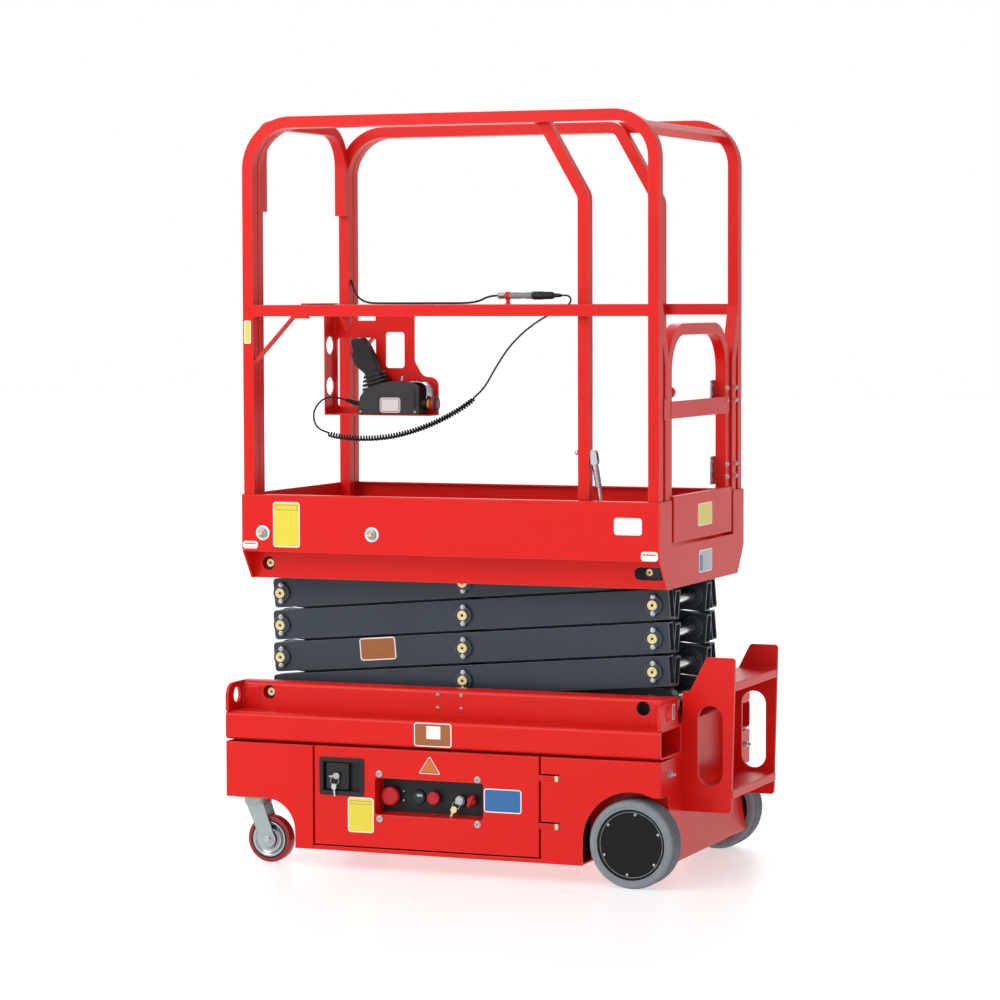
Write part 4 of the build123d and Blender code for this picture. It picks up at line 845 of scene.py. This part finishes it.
top = stack["foot"] + stack["stages"] * stack["pitch"]
for name, z, body in (("basePivotPins", stack["foot"], "outer_1"), ("topPivotPins", top, "inner_4")):
    mesh = bmesh.new()
    for side in (-1, 1):
        axis = (0, side, 0)
        lathe(mesh, stack["endSeat"], facing((stack["left"], side * stack["endFace"], z), axis), 1, 32)
        pinCap(mesh, (stack["left"], side * stack["endPinFace"], z), axis, *stack["endPin"])
    settle(name, mesh, [gold, nylon], body, 30)
print("scissor joints made")

# signs: a pale rim round a blank field, some with a band or a pale panel
signs = [
    # name, body, centre, facing, width, height, field, extra panels as (across, up, width, height, paint)
    ("signToeYellow", "platform", (-515.8, -349.4, 914.9), nearward, 78.7, 121.3, signYellow,
     [(0, 46, 66, 14, signBlack), (0, 46, 64, 12, signYellow)]),
    ("signToeWhiteLeft", "platform", (-622.9, -349.4, 858.8), nearward, 44.5, 20.4, signWhite,
     [(0, 3.5, 34, 3.2, signOrange)]),
    ("signToeWhiteRight", "platform", (509.6, -349.4, 855.5), nearward, 46, 24.5, signWhite,
     [(0, 4.2, 36, 3.6, signOrange)]),
    ("signToeWhite", "platform", (451.3, -349.4, 931.1), nearward, 76.1, 44.5, signWhite, []),
    ("signGate", "gate", (538.5, 13.2, 944.4), rightward, 118, 60, signYellow, []),
    ("signEnd", "platform", (538.5, 17.6, 820.4), rightward, 110, 60, signGrey,
     [(-36, -4, 26, 42, signBlue)]),
    ("signArm", "outer_2", (-319.7, -194, 574.5), nearward, 105.7, 61.2, signOrange,
     [(0, 0, 96, 52, signBrown)]),
    ("signChannel", "chassis", (-83.5, -375, 373), nearward, 106.8, 63.5, signBrown,
     [(2, 6, 40, 34, signWhite)]),
    ("signDoorYellow", "door_near", (-291.3, -375, 150.4), nearward, 74.9, 93.7, signYellow,
     [(0, 33, 62, 9, signBlack), (0, 33, 60, 7.4, signYellow)]),
    ("signDoorBlue", "door_near", (113.6, -375, 208.4), nearward, 105.6, 62.9, signBlue, []),
    ("signPost", "platform", (-630.2, -343.2, 1427.8), nearward, 20.3, 61.4, signYellow, []),
    ("signLug", "chassis", (549, -275, 450), rightward, 17, 40, signBlue, []),
    ("signStation", "extension", (-413, 108, 1221), nearward, 62, 42, signBlack,
     [(0, 0, 52, 33, signWhite)]),
]
signRim = {"corner": 8, "rim": 3, "thickness": 0.35, "step": 0.15, "armTilt": 4.67}
for name, body, centre, axis, width, height, field, panels in signs:
    mesh = bmesh.new()
    place = facing(centre, axis)
    if name == "signArm":
        place = place @ Matrix.Rotation(math.radians(signRim["armTilt"]), 4, "Z")
    level = signRim["thickness"]
    corner = min(signRim["corner"], width / 5)
    plate(mesh, width, height, corner, [(0, 0), (level, 0.1)], place, 0)
    rim = signRim["rim"]
    plate(mesh, width - 2 * rim, height - 2 * rim, max(corner - rim, 1),
          [(0, 0), (level + signRim["step"], 0)], place, 1)
    paints = [signWhite, field]
    for count, (across, up, wide, high, paint) in enumerate(panels):
        paints.append(paint)
        shift = place @ Matrix.Translation(Vector((across, up, 0)) * mm)
        plate(mesh, wide, high, min(1.5, high / 3), [(0, 0), (level + (count + 2) * signRim["step"], 0)],
              shift, len(paints) - 1)
    settle(name, mesh, paints, body, 30)

# three-cornered sign on the door
triangle = {"centre": (-92.8, -375, 289.3), "layers": ((33, 0.35), (29.5, 0.5), (24.5, 0.65)),
            "corner": 3, "squash": 0.88, "drop": 4}
mesh = bmesh.new()
place = facing(triangle["centre"], nearward)
for paint, (reach, level) in enumerate(triangle["layers"]):
    corners = []
    inner = reach - triangle["corner"]
    for i in range(3):
        base = math.radians(90 + 120 * i)
        for turn in (-40, 0, 40):
            bend = base + math.radians(turn)
            corners.append((math.cos(base) * inner + triangle["corner"] * math.cos(bend),
                            math.sin(base) * inner * triangle["squash"]
                            + triangle["corner"] * math.sin(bend) - triangle["drop"]))
    rings = [[mesh.verts.new(place @ (Vector((a, b, height)) * mm)) for a, b in corners]
             for height in (0, level)]
    skin(mesh, rings, paint)
settle("signDoorTriangle", mesh, [signWhite, signBrown, signOrange], "door_near", 30)
print("signs made:", len(signs) + 1)

# near door: screws round the recess
recess = {"doorFace": -375, "screws": ((-238, 263), (42.8, 261), (-237, 143), (42.4, 143)), "screw": (7, 4),
          "washer": [(0, 9), (0.9, 9), (1.1, 8.6)], "stand": 0.9}
mesh = bmesh.new()
for x, z in recess["screws"]:
    lathe(mesh, recess["washer"], facing((x, recess["doorFace"], z), nearward), 0, 24)
    screwHead(mesh, (x, recess["doorFace"] - recess["stand"], z), nearward, *recess["screw"])
settle("recessScrews", mesh, [zinc, nylon], "door_near", 30)


def keyBlade(mesh, root, axis, up, bow, length, paint=0):
    # a flat key: round bow, then a stepped blade
    place = facing(root, axis, up)
    thickness = 1.8
    outline = [(-bow, bow), (-bow * 0.4, bow * 1.5), (bow * 0.4, bow * 1.5), (bow, bow), (bow, -bow * 0.2),
               (bow * 0.35, -bow * 0.8), (bow * 0.35, -length), (0, -length - 2), (-bow * 0.35, -length),
               (-bow * 0.2, -length * 0.8), (-bow * 0.35, -length * 0.6), (-bow * 0.35, -bow * 0.8),
               (-bow, -bow * 0.2)]
    rings = [[mesh.verts.new(place @ (Vector((a, b, height)) * mm)) for a, b in outline]
             for height in (0, thickness)]
    skin(mesh, rings, paint)


# paddle latches' locks; the near one holds a key with its twin on a ring
latch = {
    "x": -363, "z": 249, "face": -373.5, "stem": [(0, 3.4), (8, 3.4)], "ring": 11, "wire": 0.9,
    "cup": [(0, 12), (1.5, 12), (2.2, 11.2), (2.2, 9.4), (1.2, 9), (1.2, 2)],
    "key": (8, 17), "twin": (7, 22),  # bow and blade length
}
for side, word in sides:
    mesh = bmesh.new()
    x, front, z = latch["x"], latch["face"], latch["z"]
    lathe(mesh, latch["cup"], facing((x, -side * front, z), (0, side, 0)), 0, 32)
    if word == "near":
        keyBlade(mesh, (x + 1, front - 7.5, z + 3), nearward, (1, 0, 0.1), *latch["key"], 1)
        lathe(mesh, latch["stem"], facing((x, front - 1, z), nearward), 1, 12)
        loop = ringPath((x - 1, front - 9, z - 10), (0.3, -1, 0), latch["ring"])
        rope(mesh, loop, latch["wire"], 1, 8, True)
        keyBlade(mesh, (x - 2, front - 9.6, z - 28), nearward, (-0.08, 0, 1), *latch["twin"], 2)
    settle("latchLock" + word.title(), mesh, [nylon, stainless, zinc], "door_" + word, 30)

# ground controls: round caps with a lever across the last
controls = {
    # x, z, back, front, radius, rounding
    "caps": ((-221, 200, -334.6, -348.8, 25.6, 7), (-98, 200, -331.6, -342.6, 17.5, 3.4),
             (12, 199, -333.6, -346.6, 11.5, 4.2)),
    "lever": (10, 34, 5), "leverPlace": (12, -346, 199), "leverLean": (0.5, 0, 1), "face": -322,
}
mesh = bmesh.new()
for x, z, back, front, radius, rounding in controls["caps"]:
    tall = back - front
    profile = [(0, radius - 1), (0.8, radius)]
    for turn in range(0, 91, 18):
        a = math.radians(turn)
        profile.append((tall - rounding + rounding * math.sin(a), radius - rounding + rounding * math.cos(a)))
    lathe(mesh, profile + [(tall + 0.6, radius * 0.3)], facing((x, back, z), nearward), 0, 40)
plate(mesh, *controls["lever"], [(-6, 0), (4.5, 0.6), (6, 2.2)],
      facing(controls["leverPlace"], nearward, controls["leverLean"]), 0)
settle("controlCaps", mesh, [buttonRed], "door_near", 35)

gauge = {
    "centre": (-145, -324, 199),
    "bezel": [(0, 19.5), (2, 19.5), (4.4, 18.4), (4.8, 17), (4.4, 15.4), (3.4, 15)],
    "glass": [(3, 15.2), (4.1, 15.2)], "lit": (15, 6, 1), "litCentre": (-142, -324, 204),
    "collars": (-24, 12), "collarZ": 198, "collar": [(0, 15), (1.2, 15), (1.6, 14.4)],
}
mesh = bmesh.new()
lathe(mesh, gauge["bezel"], facing(gauge["centre"], nearward), 0, 40)
lathe(mesh, gauge["glass"], facing(gauge["centre"], nearward), 1, 40)
plate(mesh, *gauge["lit"], [(4, 0), (4.5, 0)], facing(gauge["litCentre"], nearward), 2)
for x in gauge["collars"]:
    lathe(mesh, gauge["collar"], facing((x, controls["face"], gauge["collarZ"]), nearward), 0, 32)
settle("gauge", mesh, [nylon, gaugeGlass, gaugeLight], "door_near", 30)

keySwitch = {
    "x": -24, "z": 197, "cupFace": -333.6,
    "cup": [(-0.4, 13.4), (1, 13.4), (1.8, 12.2), (1.8, 8.5), (0.6, 8), (0.6, 2)],
    "keyFace": -346, "key": (9, 8), "stemFace": -334, "stem": [(0, 2.6), (13, 2.6)],
    "ringCentre": (-29, -348, 186), "ring": 10, "wire": 0.9, "spareRoot": (-36, -350, 172), "spare": (8, 17),
    "studs": ((-190, 212), (-190, 188)), "stud": [(0, 3), (1.6, 3), (2.2, 2)],
}
x, z = keySwitch["x"], keySwitch["z"]
mesh = bmesh.new()
lathe(mesh, keySwitch["cup"], facing((x, keySwitch["cupFace"], z), nearward), 0, 36)
keyBlade(mesh, (x, keySwitch["keyFace"], z), (0.25, -1, 0), (0.75, 0, 0.6), *keySwitch["key"], 0)
lathe(mesh, keySwitch["stem"], facing((x, keySwitch["stemFace"], z), nearward), 0, 12)
loop = ringPath(keySwitch["ringCentre"], (0.35, -1, 0), keySwitch["ring"])
rope(mesh, loop, keySwitch["wire"], 0, 8, True)
keyBlade(mesh, keySwitch["spareRoot"], (0.2, -1, 0), (0.45, 0, 1), *keySwitch["spare"], 1)
for x, z in keySwitch["studs"]:
    lathe(mesh, keySwitch["stud"], facing((x, controls["face"], z), nearward), 0, 16)
settle("keySwitch", mesh, [stainless, gold], "door_near", 30)
print("near door dressed")

# bright knuckle sleeves of the door hinges
doorHinge = {"x": 262, "y": -365, "slots": (141, 266), "sleeve": [(0.5, 8.3), (15, 8.3), (15.3, 4.4)]}
for side, word in sides:
    mesh = bmesh.new()
    for z in doorHinge["slots"]:
        place = facing((doorHinge["x"], -side * doorHinge["y"], z), upward, farward)
        lathe(mesh, doorHinge["sleeve"], place, 0, 32)
    settle("hingeSleeves" + word.title(), mesh, [gold], "door_" + word, 30)

# bolts on the side rails and the end flanges
frameBolt = {"railFace": 280, "railScrews": ((-108.6, 468.5), (-41.3, 468.5), (-108.6, 433), (-41.3, 433)),
             "screw": (5.2, 3), "flangeX": 549, "flangeY": {-1: 308, 1: 330}, "flangeZ": 292,
             "bolt": (8.6, 8, 11, 4)}
mesh = bmesh.new()
for side in (-1, 1):
    for x, z in frameBolt["railScrews"]:
        screwHead(mesh, (x, side * frameBolt["railFace"], z), (0, side, 0), *frameBolt["screw"])
    place = (frameBolt["flangeX"], side * frameBolt["flangeY"][side], frameBolt["flangeZ"])
    hexBolt(mesh, place, rightward, *frameBolt["bolt"])
settle("frameBolts", mesh, [zinc, nylon], "chassis", 30)

# ring fittings in the toe board
lanyard = {
    "centres": ((-585.4, 891.9), (-266.4, 893.9)), "face": -349.4, "ringY": -360, "ring": 8.5, "wire": 2.2,
    "collar": [(0, 20), (1.4, 20), (2, 19.2), (2, 14), (0, 13.6)], "washer": [(0, 15), (1.6, 15), (2, 14.4)],
    "nut": [(2, 12), (6.5, 12), (7.6, 10.8)], "stud": [(7, 6.4), (15, 6.4), (16.4, 5)],
}
mesh = bmesh.new()
for x, z in lanyard["centres"]:
    place = facing((x, lanyard["face"], z), nearward)
    lathe(mesh, lanyard["collar"], place, 0, 40)
    lathe(mesh, lanyard["washer"], place, 1, 32)
    lathe(mesh, lanyard["nut"], place, 1, 6)
    lathe(mesh, lanyard["stud"], place, 2, 24)
    loop = ringPath((x + 2, lanyard["ringY"], z - 3), (0.5, -1, 0.35), lanyard["ring"])
    rope(mesh, loop, lanyard["wire"], 1, 10, True)
settle("lanyardPoints", mesh, [signWhite, zinc, gold], "platform", 30)
print("base and platform fittings made")

# gate: bolts through the hinge leaves, the leaves' bright faces and the latch knob
gateFit = {
    "bolt": (5.8, 6, 3, 3), "boltZ": (1273, 1239, 1066, 1033),
    "gateBolts": (527.5, 228.2), "jambBolts": (533.5, 287.5), "leafZ": (1050, 1256),
    "gateLeaf": (64, 76, 3), "gateLeafPlace": (494.5, 219.5), "leafLayers": [(0, 0), (0.5, 0), (0.7, 0.3)],
    "leafEdge": (3.4, 76, 0.6), "leafEdgePlace": (496, 188.1), "frontLeaf": (36, 76, 3),
    "frontLeafPlace": (497.5, 206.4), "jambLeaf": (47, 76, 3), "jambLeafPlace": (500.3, 296),
    "screw": (3.4, 1.8), "screwPlace": (498, 198), "screwRise": (-26, 0, 26), "knobCentre": (514, -212, 1272),
    "knob": [(-13, 6), (-4, 6.5), (-2, 11), (3, 14.6), (10, 15.4), (16, 14), (21, 10), (23.5, 4)],
}
for name, body in (("gateBolts", "gate"), ("jambBolts", "platform")):
    mesh = bmesh.new()
    x, y = gateFit[name]
    for z in gateFit["boltZ"]:
        hexBolt(mesh, (x, y, z), rightward, *gateFit["bolt"])
    for z in gateFit["leafZ"]:
        if body == "platform":
            place = facing((*gateFit["jambLeafPlace"], z), (-1, 0, 0))
            plate(mesh, *gateFit["jambLeaf"], gateFit["leafLayers"], place, 0)
            continue
        place = facing((*gateFit["gateLeafPlace"], z), (-1, 0, 0))
        plate(mesh, *gateFit["gateLeaf"], gateFit["leafLayers"], place, 0)
        place = facing((*gateFit["leafEdgePlace"], z), nearward)
        plate(mesh, *gateFit["leafEdge"], [(0, 0), (0.5, 0)], place, 0)
        place = facing((*gateFit["frontLeafPlace"], z), rightward)
        plate(mesh, *gateFit["frontLeaf"], [(-0.3, 0), (0.4, 0), (0.6, 0.3)], place, 0)
        for rise in gateFit["screwRise"]:
            screwHead(mesh, (*gateFit["screwPlace"], z + rise), rightward, *gateFit["screw"])
    settle(name, mesh, [zinc, nylon], body, 30)
mesh = bmesh.new()
lathe(mesh, gateFit["knob"], facing(gateFit["knobCentre"], farward), 0, 32)
settle("gateKnob", mesh, [red], "gate", 35)

# spring pin that locks the roll-out rail: ball, nut, handle cheeks, coil over its rod and a pull ring
lock = {
    "y": -292.7, "z": 1117, "ballX": 291, "ball": [(-7, 2), (-5, 5), (-1, 6.8), (3, 6.4), (6, 4), (7, 3)],
    "stemX": 295.5, "stem": [(0, 3), (4, 3)], "nutX": 329, "nut": (8, 7, 4, 4),
    "cheek": (19, 40, 9), "cheekX": 339, "cheekZ": 1104, "cheekGap": 7.5, "lean": (-9, 0, 55),
    "crossPin": (337, 1112), "crossHalf": 9.5, "crossRadius": 4,
    "collar": [(338, 1096), (342, 1076)], "collarRadius": 8.4,
    "coils": 16, "coilSteps": 14, "coilRadius": 7.6, "coilWire": 1.7,
    "coilTop": (342, 1082), "coilRun": (9, 54),
    "rod": [(342, 1080), (351, 1028), (356, 990)], "rodRadius": 4.6,
    "pull": (357, 983), "pullRing": 7, "pullWire": 1.6,
}
y = lock["y"]
mesh = bmesh.new()
lathe(mesh, lock["ball"], facing((lock["ballX"], y, lock["z"]), rightward), 0, 24)
lathe(mesh, lock["stem"], facing((lock["stemX"], y, lock["z"]), rightward), 0, 16)
hexBolt(mesh, (lock["nutX"], y, lock["z"]), rightward, *lock["nut"])
for across in (-lock["cheekGap"], lock["cheekGap"]):
    plate(mesh, *lock["cheek"], [(-1.5, 0), (1.5, 0)],
          facing((lock["cheekX"], y + across, lock["cheekZ"]), nearward, lock["lean"]), 0)
x, z = lock["crossPin"]
rope(mesh, [(x, y + out * lock["crossHalf"], z) for out in (-1, 1)], lock["crossRadius"], 0, 12)
rope(mesh, [(x, y, z) for x, z in lock["collar"]], lock["collarRadius"], 0, 16)
(topX, topZ), (runX, runZ) = lock["coilTop"], lock["coilRun"]
path = []
steps = lock["coils"] * lock["coilSteps"]
for i in range(steps + 1):
    a = 2 * math.pi * i / lock["coilSteps"]
    path.append((topX + runX * (i / steps) + lock["coilRadius"] * math.cos(a),
                 y + lock["coilRadius"] * math.sin(a), topZ - runZ * (i / steps)))
rope(mesh, path, lock["coilWire"], 0, 8)
rope(mesh, [(x, y, z) for x, z in lock["rod"]], lock["rodRadius"], 0, 12)
x, z = lock["pull"]
rope(mesh, ringPath((x, y, z), farward, lock["pullRing"]), lock["pullWire"], 0, 8, True)
settle("lockPin", mesh, [zinc], "extension", 35)
print("gate and lock pin made")

# control station: stop button with its collars, guard strap and toggle, and a black plate as painted shade
# for the slot beside them
station = {
    "stopCentre": (-297.4, 137, 1225),
    "stopCap": [(-0.6, 20.4), (1.2, 21.5), (7, 21.6), (12, 19.6), (15.4, 15.4), (16.9, 9), (17.1, 3)],
    "stopCollar": [(-22, 16.4), (-14, 16.4), (-12.6, 15)], "stopNeck": [(-12.4, 13), (-6, 13)],
    "strap": [(-356, 1284.5), (-334, 1285.5), (-318, 1283), (-308, 1276), (-304.5, 1266), (-304.5, 1246),
              (-306, 1240)], "strapY": (112, 161), "strapSheet": 1.8,
    "strapScrews": ((-350, 120, 1287), (-350, 153, 1287)), "strapScrew": (4.2, 2),
    "toggleFoot": (-385, 128, 1289), "toggle": [(0, 6), (2, 6), (2.4, 3.4), (11, 3), (13, 2)],
    "slot": (7, 50, 2.5), "slotCentre": (-338, 108, 1238),
    "caseScrews": ((-503, 108, 1202), (-338, 108, 1202)), "caseScrew": (3.6, 1.6),
}
mesh = bmesh.new()
axle = facing(station["stopCentre"], rightward)
lathe(mesh, station["stopCap"], axle, 0, 40)
lathe(mesh, station["stopCollar"], axle, 1, 32)
lathe(mesh, station["stopNeck"], axle, 2, 32)
settle("stationStop", mesh, [buttonRed, nylon, buttonYellow], "extension", 35)
mesh = bmesh.new()
strap = station["strap"]
low, high = station["strapY"]
sheet = station["strapSheet"]
rings = []
for i, (x, z) in enumerate(strap):
    ax, az = strap[min(i + 1, len(strap) - 1)]
    bx, bz = strap[max(i - 1, 0)]
    length = math.hypot(ax - bx, az - bz)
    nx, nz = -(az - bz) / length, (ax - bx) / length
    rings.append([mesh.verts.new(point(x + nx * out, y, z + nz * out))
                  for y, out in ((low, 0), (high, 0), (high, sheet), (low, sheet))])
skin(mesh, rings, 0)
for place in station["strapScrews"]:
    screwHead(mesh, place, upward, *station["strapScrew"])
lathe(mesh, station["toggle"], facing(station["toggleFoot"], (0.1, 0, 1)), 0, 20)
settle("stationStrap", mesh, [stainless, nylon], "extension", 25)
mesh = bmesh.new()
# the black plate stands for the inside of the slot: painted shade
plate(mesh, *station["slot"], [(-1, 0), (0.5, 0), (0.7, 0.3)], facing(station["slotCentre"], nearward), 0)
for place in station["caseScrews"]:
    screwHead(mesh, place, nearward, *station["caseScrew"], 1, 0)
settle("stationSlot", mesh, [nylon, zinc], "extension", 30)
print("control station dressed")
